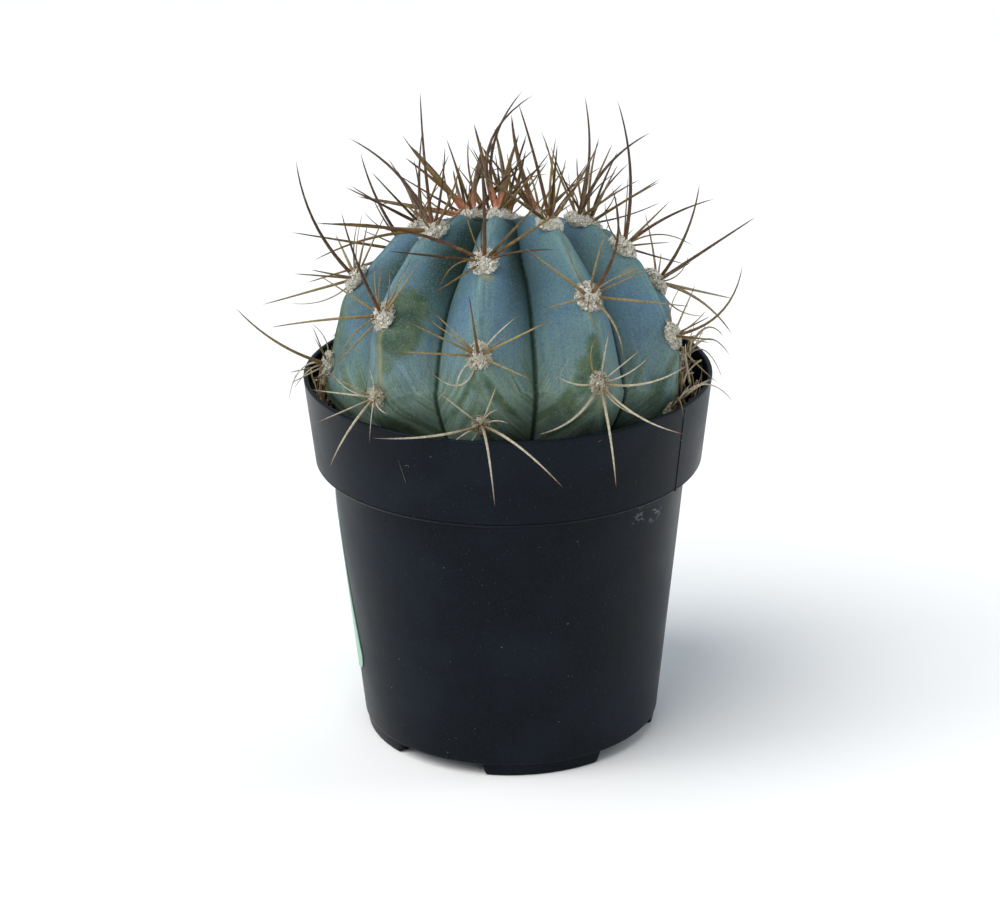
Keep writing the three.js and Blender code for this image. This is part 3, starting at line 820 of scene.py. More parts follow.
# %% [markdown]
# ## The stem
#
# A globe of latitudes and longitudes is pulled onto the outline: each point knows how far along the
# crest it is and how far across a rib. The valley is a power of the distance from the crest, so it
# is V-sharp at the bottom and the flanks are full. Real ribs also swell into a chin under each
# areole, which sits in a small notch, and no two ribs are quite alike, so low noise moves the skin.
# Each point keeps what the finish needs later: how deep in the groove it lies, where the waxy bloom
# has been rubbed off, and where the old crest has turned to cork.

# %% The skin's sizes
STEM_POINTS_PER_RIB = 32
STEM_ROWS = 156
CHIN = 1.1
CHIN_SIZE = (4.5, 6)  # along and across the rib
CHIN_BELOW = 5.5  # from the areole's middle
NOTCH = 0.7
NOTCH_SIZE = (2.8, 3)  # along and across the rib
RELIEF_GROWS = (4, 16)  # arcs
UNEVEN = 0.55
UNEVEN_SIZE = 17
UNEVEN_GROWS = (5, 25)  # arcs
PATCH_EDGE = (0.35, 1.45)  # where a patch begins to fade and has gone, against its half sizes
FAN_SLOPE = 1.7  # how steeply the streaks of the lower skin run down and away from the crest
FAN_HALF_WIDTH = 1.7
FAN_LENGTHS = (13, 24)  # over which a streak fades
FAN_FROM = 58  # areoles from this arc on have streaks
FAN_START = 3  # below the areole's middle
FAN_GROWS = (2, 6)
FAN_STRENGTH = 0.7
RIB_APART = 40  # how far apart ribs lie in the streaks' noise, so that no two have the same ones
FLANK_APART = 9  # and a rib's two flanks

# %% Patches on the skin
BARE_PATCHES = [  # bloom gone: rib, millimetres right of its crest, arc, half width, half length, share
    ("c", 5.0, 51, 4.4, 6.5, 1.0),
    ("c", 4.6, 58, 5.4, 7, 1.0),
    ("c", 2.4, 65, 2.6, 5, 0.6),
    ("c", -1.5, 82, 5.0, 4, 0.5),
    ("c", 6.0, 73, 5.0, 6, 0.42),
    ("a", 0.2, 54, 1.8, 6, 0.3),
    ("a", 0.0, 71, 2.2, 4, 0.5),
    ("b", -0.6, 62.5, 2.4, 4, 0.75),
    ("b", -1.6, 66.5, 4.2, 3.2, 0.85),
    ("b", -4.2, 71, 2.4, 4, 0.7),
    ("b", -6.8, 76, 2.6, 5, 0.8),
    ("b", -9.2, 81, 2.6, 5, 0.6),
    ("b", 6.0, 32, 3.6, 11, 0.7),
    ("e", -6.5, 74, 3.0, 7, 0.6),
    ("e", -12, 66, 2.4, 8, 0.4),
    ("d", 0.6, 56, 3.6, 13, 0.62),
    ("d", 4.0, 44, 6.0, 14, 0.42),
    ("d", 5.5, 63, 5.0, 8, 0.42),
    ("f", -2, 62, 5, 10, 0.6),
    ("g", 3, 52, 5, 9, 0.8),
    ("h", -4, 66, 5, 9, 0.8),
    ("h", 5, 40, 4, 5, 0.6),
    ("i", 4, 60, 4, 10, 0.7),
]
CORK_PATCHES = [  # in the same way, skin that has turned to cork
    ("c", 0.8, 66, 0.7, 9, 1.0),
    ("c", 0.4, 59, 0.5, 3, 0.7),
    ("a", 1.0, 43.6, 1.6, 1.3, 0.8),
    ("e", -4.3, 40.7, 2.4, 1.0, 0.6),
    ("d", 0.5, 78, 1.2, 7, 0.8),
    ("b", 0.3, 76, 0.8, 3, 0.5),
    ("f", 0, 57, 0.9, 9, 0.8),
    ("h", 0, 76, 1.2, 8, 0.9),
    ("g", 1, 45, 1.4, 2, 0.7),
    ("i", -3, 50, 2, 1.2, 0.6),
]

# %% Relief and paint of the skin
FAR_ACROSS = 99.0  # where another rib is nearer


def across_rib(rib, turn, arc):
    """Millimetres to the right of a rib's crest."""
    k = RIB_NAMES.index(rib)
    apart = (rib_azimuth(turn) - RIB_AZIMUTHS[rib] + 180) % 360 - 180
    near = np.abs((turn - k + RIB_COUNT / 2) % RIB_COUNT - RIB_COUNT / 2) <= 0.5
    return np.where(near, np.radians(apart) * crest_at(arc)[0], FAR_ACROSS)


def skin_relief(turn, arc):
    """Chins and notches of the skin, outwards in millimetres."""
    relief = np.zeros_like(turn)
    for name, (areole_arc, _) in AREOLES.items():
        across = across_rib(name[0], turn, arc)
        below = arc - areole_arc
        chin = ((below - CHIN_BELOW) / CHIN_SIZE[0]) ** 2 + (across / CHIN_SIZE[1]) ** 2
        notch = (below / NOTCH_SIZE[0]) ** 2 + (across / NOTCH_SIZE[1]) ** 2
        relief += CHIN * np.exp(-chin) - NOTCH * np.exp(-notch)
    return relief * smooth_step(*RELIEF_GROWS, arc)


def painted_share(patches, turn, arc):
    """The greatest share that any of some patches has at places on the skin."""
    shares = np.zeros_like(turn)
    for rib, across, middle, half_width, half_length, share in patches:
        gap = np.hypot((across_rib(rib, turn, arc) - across) / half_width, (arc - middle) / half_length)
        shares = np.maximum(shares, share * (1 - smooth_step(*PATCH_EDGE, gap)))
    return shares


def fan_share(turn, arc):
    """Two green streaks that run down and outwards from each old areole."""
    shares = np.zeros_like(turn)
    for name, (areole_arc, _) in AREOLES.items():
        if areole_arc < FAN_FROM:
            continue
        below = arc - areole_arc
        across = np.abs(across_rib(name[0], turn, arc))
        leg = np.exp(-((across - (below - FAN_START) / FAN_SLOPE) / FAN_HALF_WIDTH) ** 2)
        leg = leg * smooth_step(*FAN_GROWS, below) * (1 - smooth_step(*FAN_LENGTHS, below))
        shares = np.maximum(shares, leg)
    return shares * FAN_STRENGTH


# %% The skin itself


def stem_skin():
    """The ribbed stem with its painted shares."""
    bm = bmesh.new()
    turn, arc, pole = ribbed_ball(bm, STEM_POINTS_PER_RIB, STEM_ROWS)
    stand = crest_stand(rib_azimuth(turn), arc)
    rib = np.round(turn)
    from_crest = 2 * np.abs(turn - rib)
    across = (turn - rib) * math.tau / RIB_COUNT * crest_at(arc)[0]
    relief = skin_relief(turn, arc) - valley_depth(arc, from_crest)
    places = stand.at + stand.out * relief[:, None]
    paints = {
        "groove": from_crest,
        "arc": arc,
        "bare": np.maximum(painted_share(BARE_PATCHES, turn, arc), fan_share(turn, arc)),
        "cork": painted_share(CORK_PATCHES, turn, arc),
    }
    layers = {name: bm.verts.layers.float.new(name) for name in paints}
    skin_layer = bm.verts.layers.float_vector.new("skin")
    fan_layer = bm.verts.layers.float_vector.new("fan")
    skin = np.stack([across, arc, RIB_APART * rib], -1)
    fan = skin.copy()
    fan[:, 0] = np.abs(across) - arc / FAN_SLOPE
    fan[:, 2] += np.copysign(FLANK_APART, across)
    uneven = UNEVEN * smooth_step(*UNEVEN_GROWS, arc)
    for i, vert in enumerate(bm.verts):
        place = Vector(places[i])
        place += Vector(stand.out[i]) * float(noise.noise(place / UNEVEN_SIZE) * uneven[i])
        if pole[i]:
            place.x = place.y = 0
        vert.co = place
        vert[skin_layer] = skin[i]
        vert[fan_layer] = fan[i]
        for name, shares in paints.items():
            vert[layers[name]] = shares[i]
    bmesh.ops.transform(bm, matrix=PLANT, verts=bm.verts)
    return bm


# %% [markdown]
# The skin is green, and a pale blue wax, the bloom, lies on it. Where it is thick the plant looks
# blue-grey, and where it has been touched or washed off the green shows, with a ragged edge. The
# crests are painted pale, a painted highlight. Painted shade darkens the skin towards the grooves,
# most on the right flanks of the upper ribs, and the floor of each groove is a dark green line, bare
# skin darkened by painted shade. Close to the pot, older skin is greener and has fine streaks that
# run down from each areole. All over there are tiny pores.

# %% The stem's finish
BLOOM_BLUE = srgb(84, 113, 133)
BLOOM_SEA = srgb(90, 120, 123)
BLOOM_SLATE = srgb(70, 98, 116)
# A painted highlight for the crests.
CREST_HIGHLIGHT = srgb(122, 150, 144)
# Painted shade that deepens towards the grooves.
GROOVE_SHADE = srgb(62, 90, 94)
# Painted shade for the right flanks of the upper ribs.
FLANK_SHADE_GREEN = srgb(38, 58, 50)
# A dark green for the bare patches and, as painted shade, for the floors of the grooves.
DARK_GREEN_AND_GROOVE_SHADE = srgb(34, 56, 40)
WASHED_GREEN = srgb(116, 134, 112)
BARE_GREEN = srgb(58, 78, 54)
BARE_OLIVE = srgb(82, 98, 68)
CORK_TAN = srgb(140, 136, 98)
PORE = srgb(44, 66, 70)
FROST = srgb(142, 166, 162)


def waxy_skin():
    """Blue bloom over green skin, with painted shade towards the grooves and a painted highlight on the
    crests.
    """
    f = Finish("stem_skin", Specular_IOR_Level=0.2)
    groove, arc = f.painted("groove"), f.painted("arc")
    skin, fan = f.painted("skin", "Vector"), f.painted("fan", "Vector")
    streaks = f.noise(1.0, 3, f.stretched(skin, (0.9, 0.09, 1)))
    fans = f.noise(1.0, 3, f.stretched(fan, (0.7, 0.04, 1)))
    colour = f.clouded(BLOOM_BLUE, BLOOM_SEA, 42, 3, 0.44, 0.66)
    colour = f.clouded(colour, BLOOM_SLATE, 95, 4, 0.48, 0.68, 0.6)
    # Painted shade: the skin darkens towards the grooves.
    colour = f.mix(f.between(groove, 0.45, 1.0, 0.0, 0.5), colour, GROOVE_SHADE)
    # Painted highlight: the crests are painted pale, brighter where the streaks are.
    crest = f.times(f.between(groove, 0.34, 0.02), f.between(streaks, 0.35, 0.65, 0.10, 0.65))
    colour = f.mix(crest, colour, CREST_HIGHLIGHT)
    # Painted shade: the right flank of each upper rib darkens towards the groove, the left one less, as if
    # lit from the left.
    right = f.between(f.node("SeparateXYZ", {0: skin}), -1, 5, 0.3, 1.0)
    flank_shade = f.times(f.between(groove, 0.22, 0.68), f.between(arc, 62, 32, 0.0, 0.95))
    colour = f.mix(f.times(flank_shade, right), colour, FLANK_SHADE_GREEN)
    tinge = f.times(f.between(arc, 44, 80), f.between(streaks, 0.38, 0.62, 0.2, 0.75))
    colour = f.mix(tinge, colour, WASHED_GREEN)
    washed = f.times(f.between(arc, 62, 84), f.between(fans, 0.40, 0.58, 0.35, 1.0))
    colour = f.mix(washed, colour, WASHED_GREEN)
    stripes = f.between(f.noise(1.0, 2, f.stretched(fan, (0.42, 0.03, 1.7))), 0.50, 0.62)
    stripes = f.times(stripes, f.between(arc, 60, 74, 0.0, 0.75))
    colour = f.mix(stripes, colour, BARE_OLIVE)
    veins = f.between(f.noise(1.0, 2, f.stretched(fan, (2.6, 0.05, 1.3))), 0.56, 0.68)
    colour = f.mix(f.times(veins, f.between(arc, 58, 74, 0.0, 0.4)), colour, FROST)
    worn = f.math("SUBTRACT", f.noise(300, 5, roughness=0.6), 0.5)
    ragged = f.math("ADD", f.painted("bare"), f.times(worn, 0.55))
    green = f.clouded(BARE_GREEN, BARE_OLIVE, 240, 3, 0.38, 0.62)
    green = f.clouded(green, DARK_GREEN_AND_GROOVE_SHADE, 600, 3, 0.48, 0.7, 0.3)
    colour = f.mix(f.between(ragged, 0.18, 0.74, 0.0, 0.9), colour, green)
    # The floor of each groove is painted dark green: bare skin darkened by painted shade.
    colour = f.mix(f.between(groove, 0.92, 0.99, 0.0, 0.9), colour, DARK_GREEN_AND_GROOVE_SHADE)
    colour = f.clouded(colour, PORE, 1900, 2, 0.50, 0.70, 0.36)
    frost = f.between(f.noise(2300, 3), 0.52, 0.72, 0.0, 0.26)
    colour = f.mix(f.times(frost, f.between(groove, 0.98, 0.70)), colour, FROST)
    cork = f.times(f.painted("cork"), f.between(f.noise(500, 3), 0.30, 0.55, 0.4, 1.0))
    colour = f.mix(cork, colour, CORK_TAN)
    roughness = f.between(ragged, 0.3, 0.6, 0.74, 0.60)
    pores = f.bump(f.noise(1500, 3), 0.06)
    folds = f.bump(fans, 0.14, f.bump(streaks, 0.12, pores))
    return f.finish(colour, roughness, f.bump(cork, 0.12, folds))


stem_mesh = stem_skin()
STEM_TREE = BVHTree.FromBMesh(stem_mesh)
TIE = 1e-4  # faces whose distances differ by less are equally near
stem = finish_piece("stem_skin", stem_mesh, waxy_skin(), "stem_skin", "stem")
print("stem:", len(stem.data.polygons), "faces")


def outside_stem(point):
    """How far a point of the pot's frame lies outside the skin; negative inside it.

    Blender orders the skin's faces differently in each run. So where several are equally near, they
    all have a say in the sign, and the answer stays the same.
    """
    gap = STEM_TREE.find_nearest(point)[3]
    nearest = STEM_TREE.find_nearest_range(point, gap + TIE)
    return math.copysign(gap, math.fsum((point - place).dot(normal) for place, normal, _, _ in nearest))


# %% [markdown]
# ## Peat
#
# The pot is filled with dark peat to about 17 mm under its rim. Its top is seen only in the gap
# between the ribs and the wall, so that is where the effort goes: the top is a spun disc with many
# rings, roughened by noise at two scales, and loose crumbs and root fibres lie on it. The stem's
# place is cut out, because peat and plant touch but don't pass through each other.

# %% The body of the peat
SOIL_TOP = 80
SOIL_LUMP = 1.1
SOIL_LUMPS = ((SOIL_LUMP * 0.8, 6), (0.7, 1.7))  # height and width of coarse and fine lumps
SOIL_RING = 1.3
SOIL_STEPS = 180
SMOOTH_EDGE = 0.5
HOLLOW_POINTS_PER_RIB = 12
HOLLOW_ROWS = 60
HOLLOW_SWELL = GAP + CHIN * 0.6


def soil_inside(z):
    """The peat's radius at a height."""
    return float(pot_radius(z)) - WALL - GAP


def soil_lump(place):
    """How far the peat's top rises or sinks at a place."""
    return sum(height * noise.noise(place / width) for height, width in SOIL_LUMPS)


def stem_hollow():
    """The stem, slightly swollen, as a cutter for the peat."""
    bm = bmesh.new()
    turn, arc, pole = ribbed_ball(bm, HOLLOW_POINTS_PER_RIB, HOLLOW_ROWS)
    stand = crest_stand(rib_azimuth(turn), arc)
    depth = valley_depth(arc, 2 * np.abs(turn - np.round(turn)))
    places = stand.at + stand.out * (HOLLOW_SWELL - depth)[:, None]
    places[pole, :2] = 0
    for vert, place in zip(bm.verts, places):
        vert.co = place
    bmesh.ops.transform(bm, matrix=PLANT, verts=bm.verts)
    return bm


def peat_fill():
    """Peat up to its rough top, with the stem's place cut out."""
    bottom = FOOT_HEIGHT + WALL + GAP
    ledge = COLLAR_BOTTOM + WALL + GAP
    edge = soil_inside(SOIL_TOP)
    rings = [(edge - SOIL_RING * k, SOIL_TOP) for k in range(1, int(edge / SOIL_RING))]
    bm = spun([(0, bottom), (soil_inside(bottom), bottom), (SHOULDER_RADIUS - WALL - GAP, ledge),
               (soil_inside(ledge), ledge), (edge, SOIL_TOP), *rings, (0, SOIL_TOP)], SOIL_STEPS)
    for vert in bm.verts:
        if vert.co.z > SOIL_TOP - MERGED and math.hypot(vert.co.x, vert.co.y) < edge - SMOOTH_EDGE:
            vert.co.z += soil_lump(vert.co)
    return combined(bm, stem_hollow(), "DIFFERENCE")


# %% The peat's finish
PEAT_DARK = srgb(34, 26, 22)
PEAT_BROWN = srgb(70, 54, 42)
PEAT_FIBRE = srgb(120, 98, 70)


def peat_finish():
    """Crumbly dark peat with lighter fibres."""
    f = Finish("peat", Specular_IOR_Level=0.2)
    colour = f.mix(f.between(f.noise(700, 5, roughness=0.7), 0.42, 0.66), PEAT_DARK, PEAT_BROWN)
    fibres = f.between(f.noise(900, 3, f.stretched(f.place, (1, 0.25, 1))), 0.62, 0.72, 0, 0.5)
    colour = f.mix(fibres, colour, PEAT_FIBRE)
    return f.finish(colour, 0.95, f.bump(f.noise(1100, 5, roughness=0.7), 0.5))


PEAT = peat_finish()
soil = finish_piece("peat_fill", peat_fill(), PEAT, "peat", "soil")
print("peat:", len(soil.data.polygons), "faces")

# %% [markdown]
# Loose crumbs are little rough lumps. Five of them are made by pushing the corners of an
# icosahedron about, and copies lie scattered over the gap, turned and scaled at random.

# %% Crumbs of peat
CRUMB_SEED = 11
CRUMB_COUNT = 900
CRUMB_KINDS = 5
CRUMB_SIZES = (0.35, 1.35)
CRUMB_SMALLNESS = 2.2  # a power that makes most of them small
CRUMB_CORNERS = (0.65, 1.2)
CRUMB_RISE = 0.3  # of its size
CRUMB_CLEARANCE = 1.1  # of its size
GAP_FROM = 30  # no gap shows nearer to the pot's axis


def add_copy(bm, mesh, matrix):
    """Adds a copy of a mesh at a place and returns its new points."""
    before = len(bm.verts)
    bm.from_mesh(mesh)
    bm.verts.ensure_lookup_table()
    added = bm.verts[before:]
    bmesh.ops.transform(bm, matrix=matrix, verts=added)
    return added


def rough_lump(bm, radius, corners, luck):
    """An icosahedron with its corners pushed about, as a mesh."""
    bmesh.ops.create_icosphere(bm, subdivisions=1, radius=radius)
    for vert in bm.verts:
        vert.co *= luck.uniform(*corners)
    return as_mesh(bm)


def scattered(luck, clearance):
    """A random place on the peat, clear of the stem and the wall."""
    while True:
        angle = luck.uniform(0, math.tau)
        reach = luck.uniform(GAP_FROM, soil_inside(SOIL_TOP) - clearance)
        place = Vector((reach * math.cos(angle), reach * math.sin(angle), SOIL_TOP))
        place.z += soil_lump(place)
        if outside_stem(place) > clearance:
            return place


def peat_crumbs():
    """Crumbs lying on the peat."""
    luck = random.Random(CRUMB_SEED)
    kinds = [rough_lump(bmesh.new(), 1, CRUMB_CORNERS, luck) for _ in range(CRUMB_KINDS)]
    bm = bmesh.new()
    least, most = CRUMB_SIZES
    for k in range(CRUMB_COUNT):
        size = least + (most - least) * luck.random() ** CRUMB_SMALLNESS
        place = scattered(luck, size * CRUMB_CLEARANCE) + Vector((0, 0, size * CRUMB_RISE))
        turn = Matrix.Rotation(luck.uniform(0, math.tau), 4, (luck.random(), luck.random(), 0.3))
        add_copy(bm, kinds[k % CRUMB_KINDS], Matrix.Translation(place) @ turn @ Matrix.Scale(size, 4))
    return bm


crumbs = finish_piece("peat_crumbs", peat_crumbs(), PEAT, "peat")
print("crumbs:", len(crumbs.data.polygons), "faces")

# %% [markdown]
# ## Tapered tubes
#
# Spines, fibres and wool are all thin tubes. One ring of points is extruded step by step along a
# line, each time moved, turned and shrunk, and the last ring is drawn together in the tip. Each
# ring is painted, so that a spine can change colour from its root to its tip.

# %% Growing a tube


def set_down(place, facing, size):
    """The matrix that puts a small thing at a place, with its Z axis along a facing."""
    return Matrix.Translation(place) @ facing.to_matrix().to_4x4() @ Matrix.Scale(size, 4)


def grow_tube(bm, centres, radii, sides, tints):
    """Adds a tapered tube along centres, closed at both ends and painted ring by ring."""
    paint = bm.verts.layers.float_color["tint"]
    heading = (centres[1] - centres[0]).normalized()
    facing = heading.to_track_quat("Z", "Y")
    settled = set_down(centres[0], facing, radii[0])
    ring = bmesh.ops.create_circle(bm, cap_ends=True, segments=sides, radius=1, matrix=settled)["verts"]
    edges = list({edge for vert in ring for edge in vert.link_edges})
    for vert in ring:
        vert[paint] = tints[0]
    for k in range(1, len(centres)):
        grown = bmesh.ops.extrude_edge_only(bm, edges=edges)["geom"]
        ring = [item for item in grown if isinstance(item, bmesh.types.BMVert)]
        edges = [item for item in grown if isinstance(item, bmesh.types.BMEdge)]
        onward = (centres[min(k + 1, len(centres) - 1)] - centres[k - 1]).normalized()
        facing = heading.rotation_difference(onward) @ facing
        heading = onward
        target = set_down(centres[k], facing, radii[k])
        bmesh.ops.transform(bm, matrix=target @ settled.inverted(), verts=ring)
        settled = target
        for vert in ring:
            vert[paint] = tints[k]
    bmesh.ops.pointmerge(bm, verts=ring, merge_co=centres[-1])


def painted_bmesh():
    """An empty bmesh whose points can be painted."""
    bm = bmesh.new()
    bm.verts.layers.float_color.new("tint")
    return bm


def mixed(first, second, share):
    """A colour between two."""
    return tuple(a + (b - a) * share for a, b in zip(first, second))


def wandering(luck, spread):
    """A small random step in any direction."""
    return Vector([luck.gauss(0, spread) for _ in range(3)])


# %% [markdown]
# Fine pale roots and bits of old spines lie across the peat, and a few cling to the pot's wall. At
# the plant's two sides the old spines that broke off are caught between the ribs and the rim, where
# they make a loose tangle.

# %% Fibres
FIBRE_SEED = 23
FIBRE_COUNT = 110
FIBRE_ROOM = 1.0  # round the place where one starts
FIBRE_LIFT = 0.5
FIBRE_RISES = (-4, 9)  # against its distance from the axis
FIBRE_STRAYS = 0.3  # from the way round the pot
FIBRE_POINTS = 4  # shorter ones are left out
FIBRE_LENGTHS = (3, 9)
FIBRE_RADII = (0.10, 0.26)
FIBRE_STEPS = 7
FIBRE_WANDERS = 0.16  # from step to step
FIBRE_CLEARANCE = 0.35  # from the stem
FIBRE_OFF_WALL = 0.2
FIBRE_TAPER = 0.7
FIBRE_SIDES = 5
FIBRE_TINTS = [srgb(142, 112, 78), srgb(110, 82, 58), srgb(176, 150, 112), srgb(86, 62, 46)]
FIBRES_ON_POT = [  # azimuth, height, length, slant
    (-29.6, 84.2, 6.8, 106),
    (-29.3, 88.9, 1.1, 20),
    (-28.3, 88.6, 0.8, 80),
    (24.1, 95.6, 1.2, 25),
]
DUSTY_FIBRE = srgb(98, 90, 70)
DUSTY_RADIUS = 0.08
DUSTY_STEPS = 6
DUSTY_LIFT = 0.12
TANGLE_SIDES = [(60, 112), (-104, -73)]  # azimuths from and to
TANGLE_COUNT = 30
TANGLE_TRIES = 4000
TANGLE_LENGTHS = (9, 30)
TANGLE_RADII = (0.24, 0.42)
TANGLE_BOW = 1.5
TANGLE_STEPS = 11
TANGLE_HEIGHTS = (81.5, 101)
TANGLE_REACH = (44.5, 50.8)  # from the pot's axis
TANGLE_TINTS = [srgb(176, 156, 120), srgb(150, 124, 88), srgb(196, 180, 150), srgb(112, 84, 60)]

# %% Lines of fibres


def fibre_line(start, direction, length, luck):
    """A wavering line of points."""
    points = [start.copy()]
    heading = direction.normalized()
    for _ in range(FIBRE_STEPS):
        heading = (heading + wandering(luck, FIBRE_WANDERS)).normalized()
        points.append(points[-1] + heading * length / FIBRE_STEPS)
    return points


def add_fibre(bm, line, radius, tint):
    """One fibre that thins to its end."""
    radii = [radius * (1 - FIBRE_TAPER * k / (len(line) - 1)) for k in range(len(line))]
    grow_tube(bm, line, radii, FIBRE_SIDES, [tint] * len(line))


def free_in_gap(point):
    """Whether a point lies in the gap between the stem and the pot."""
    most = soil_inside(min(point.z, POT_HEIGHT)) - FIBRE_OFF_WALL
    return outside_stem(point) > FIBRE_CLEARANCE and math.hypot(point.x, point.y) < most


def place_in_tangle(luck, side):
    """A random place in the gap at one side."""
    return round_axis(luck.uniform(*side), luck.uniform(*TANGLE_REACH), luck.uniform(*TANGLE_HEIGHTS))


def tangled_spines(luck, side):
    """Lines of old spines that lie free in the gap from end to end."""
    found = 0
    for _ in range(TANGLE_TRIES):
        start, end = place_in_tangle(luck, side), place_in_tangle(luck, side)
        if not TANGLE_LENGTHS[0] < (end - start).length < TANGLE_LENGTHS[1]:
            continue
        bow = Vector([luck.uniform(-TANGLE_BOW, TANGLE_BOW) for _ in range(3)])
        shares = [k / TANGLE_STEPS for k in range(TANGLE_STEPS + 1)]
        line = [start.lerp(end, share) + bow * 4 * share * (1 - share) for share in shares]
        if all(free_in_gap(point) for point in line):
            yield line
            found += 1
        if found == TANGLE_COUNT:
            return


def peat_fibres():
    """Roots and old spines on the peat, in the gaps and on the wall."""
    luck = random.Random(FIBRE_SEED)
    bm = painted_bmesh()
    for _ in range(FIBRE_COUNT):
        start = scattered(luck, FIBRE_ROOM) + Vector((0, 0, FIBRE_LIFT))
        length = luck.uniform(*FIBRE_LENGTHS)
        along = Vector((-start.y, start.x, luck.uniform(*FIBRE_RISES))).normalized() * luck.choice((-1, 1))
        along += wandering(luck, FIBRE_STRAYS)
        line = [point for point in fibre_line(start, along, length, luck) if free_in_gap(point)]
        if len(line) >= FIBRE_POINTS:
            add_fibre(bm, line, luck.uniform(*FIBRE_RADII), luck.choice(FIBRE_TINTS))
    for side in TANGLE_SIDES:
        for line in tangled_spines(luck, side):
            add_fibre(bm, line, luck.uniform(*TANGLE_RADII), luck.choice(TANGLE_TINTS))
    for azimuth, z, length, slant in FIBRES_ON_POT:
        across, rise = length * math.cos(math.radians(slant)), length * math.sin(math.radians(slant))
        line = []
        for k in range(DUSTY_STEPS + 1):
            turned = azimuth + math.degrees(across * k / DUSTY_STEPS / RIM_RADIUS)
            lift = DUSTY_LIFT + luck.uniform(0, DUSTY_LIFT)
            line.append(on_wall(turned, z + rise * k / DUSTY_STEPS, lift))
        add_fibre(bm, line, DUSTY_RADIUS, DUSTY_FIBRE)
    return bm


# %% The finish of spines and fibres
HORN_STAIN = srgb(150, 140, 124)
HORN_AMBER = srgb(176, 156, 96)


def stained(f, scale, low, high, most, stain):
    """The painted colour, darkened in blotches by a stain."""
    blotches = f.between(f.noise(scale, 3), low, high, 0.0, most)
    return f.mix(blotches, f.painted("tint", "Color"), stain, "MULTIPLY")


def horn_finish():
    """Dry plant matter coloured by its paint, mottled and a little rough."""
    f = Finish("spine", Specular_IOR_Level=0.35)
    colour = stained(f, 1600, 0.44, 0.60, 0.45, HORN_STAIN)
    colour = f.clouded(colour, HORN_AMBER, 600, 2, 0.50, 0.72, 0.18)
    return f.finish(colour, 0.45, f.bump(f.noise(1800, 2), 0.06))


HORN = horn_finish()
fibres = finish_piece("peat_fibres", peat_fibres(), HORN, "spine")
print("fibres:", len(fibres.data.polygons), "faces")

# %% [markdown]
# ## How spines stand
#
# A spine's line is a chord from the areole to its tip, bowed sideways and, where it has to pass
# something, arched towards the sky. The same rule that shaped the plain solids is used here, so the
# fine spines lie on them: a spine that would touch the pot, the peat, the stem or another areole's
# spines is turned and lifted a little at a time until it is clear.

# %% Spine lines
SPINE_RADIUS = 0.72  # of the plain solids' spines at the root
SPINE_LIFT = 0.6  # of the root above the crest
CLEAR_POT = 0.6
CLEAR_SPINE = 0.5
CLEAR_WOOL = 0.4
ROOT_SHARE = 0.25  # of the length, where a spine may be as low as the crest
SAMPLES = np.linspace(0, 1, 14)  # shares of the length at which a line is tested
# Arches and lifts in millimetres, and turns of clock and lean in degrees, in the order of trying.
RISES = [(0, 0), (2, 0), (4, 0), (6, 0), (0, 5), (0, 10), (0, 15), (2, 20), (3, 25)]
SLIGHT_RISES = RISES[:3]  # for thin spines, which are left out where these don't do
TURNS = [(0, 0), (7, 0), (-7, 0), (0, 9), (12, 9), (-12, 9), (0, 18), (16, 18), (-16, 18)]
CREST_ANGLES = np.arctan2(CREST_HEIGHT, CREST_RADIUS)


def draw(i, j):
    """A repeatable draw between 0 and 1 for a pair of whole numbers."""
    s = math.sin(i * 12.9898 + j * 78.233) * 43758.5453
    return s - math.floor(s)


def spine_line(stand, spine, arch=0.0, lift=0.0):
    """A function that gives a spine's points, in the plant's frame, for shares of its length."""
    clock, lean = math.radians(spine[0]), math.radians(spine[1])
    length, bow = spine[2:]
    chord = (stand.up * math.cos(clock) + stand.right * math.sin(clock)) * math.cos(lean)
    chord = chord + stand.out * math.sin(lean)
    side = np.cross(chord, (0.0, 1.0, 0.0))
    side /= np.linalg.norm(side)
    chord = chord * length + SKY * lift
    root = stand.at + stand.out * SPINE_LIFT

    def line(share):
        share = np.asarray(share, float)[..., None]
        bulge = 4 * share * (1 - share)
        return root + chord * share + side * bow * bulge + SKY * arch * bulge

    return line


# %% Keeping clear
taken = {"places": np.empty((0, 3)), "reach": np.empty(0), "owner": np.empty(0, int)}


def take(places, reach, owner):
    """Remembers places that later spines of other areoles keep clear of."""
    taken["places"] = np.vstack([taken["places"], places])
    taken["reach"] = np.concatenate([taken["reach"], np.broadcast_to(reach, len(places))])
    taken["owner"] = np.concatenate([taken["owner"], np.full(len(places), owner)])


def clear_of_pot(points, radii):
    """Whether all the points stand clear of the pot's wall and the peat."""
    world = to_world(points)
    reach = np.hypot(world[:, 0], world[:, 1])
    margin = radii + CLEAR_POT
    edge = pot_radius(np.minimum(world[:, 2], POT_HEIGHT))
    in_peat = (world[:, 2] < SOIL_TOP + SOIL_LUMP + margin) & (reach < edge)
    in_wall = (reach > edge - WALL - margin) & (reach < edge + margin) & (world[:, 2] <= POT_HEIGHT + margin)
    return not (in_peat | in_wall).any()


def clear_of_stem(points):
    """Whether all the points stand outside the crests, seen from the middle of the stem."""
    reach = np.hypot(points[:, 0], points[:, 1])
    angles = np.arctan2(points[:, 2], reach)
    first = np.argmax(CREST_ANGLES[None, :] <= angles[:, None], axis=1)
    crest = np.hypot(CREST_RADIUS[first], CREST_HEIGHT[first])
    return bool((np.hypot(reach, points[:, 2]) > crest).all())


def clear_of_others(points, radii, owner):
    """Whether all the points stand clear of other areoles' spines and wool."""
    others = taken["owner"] != owner
    gaps = np.linalg.norm(points[:, None] - taken["places"][None, others], axis=2)
    return bool((gaps > radii[:, None] + taken["reach"][None, others]).all())


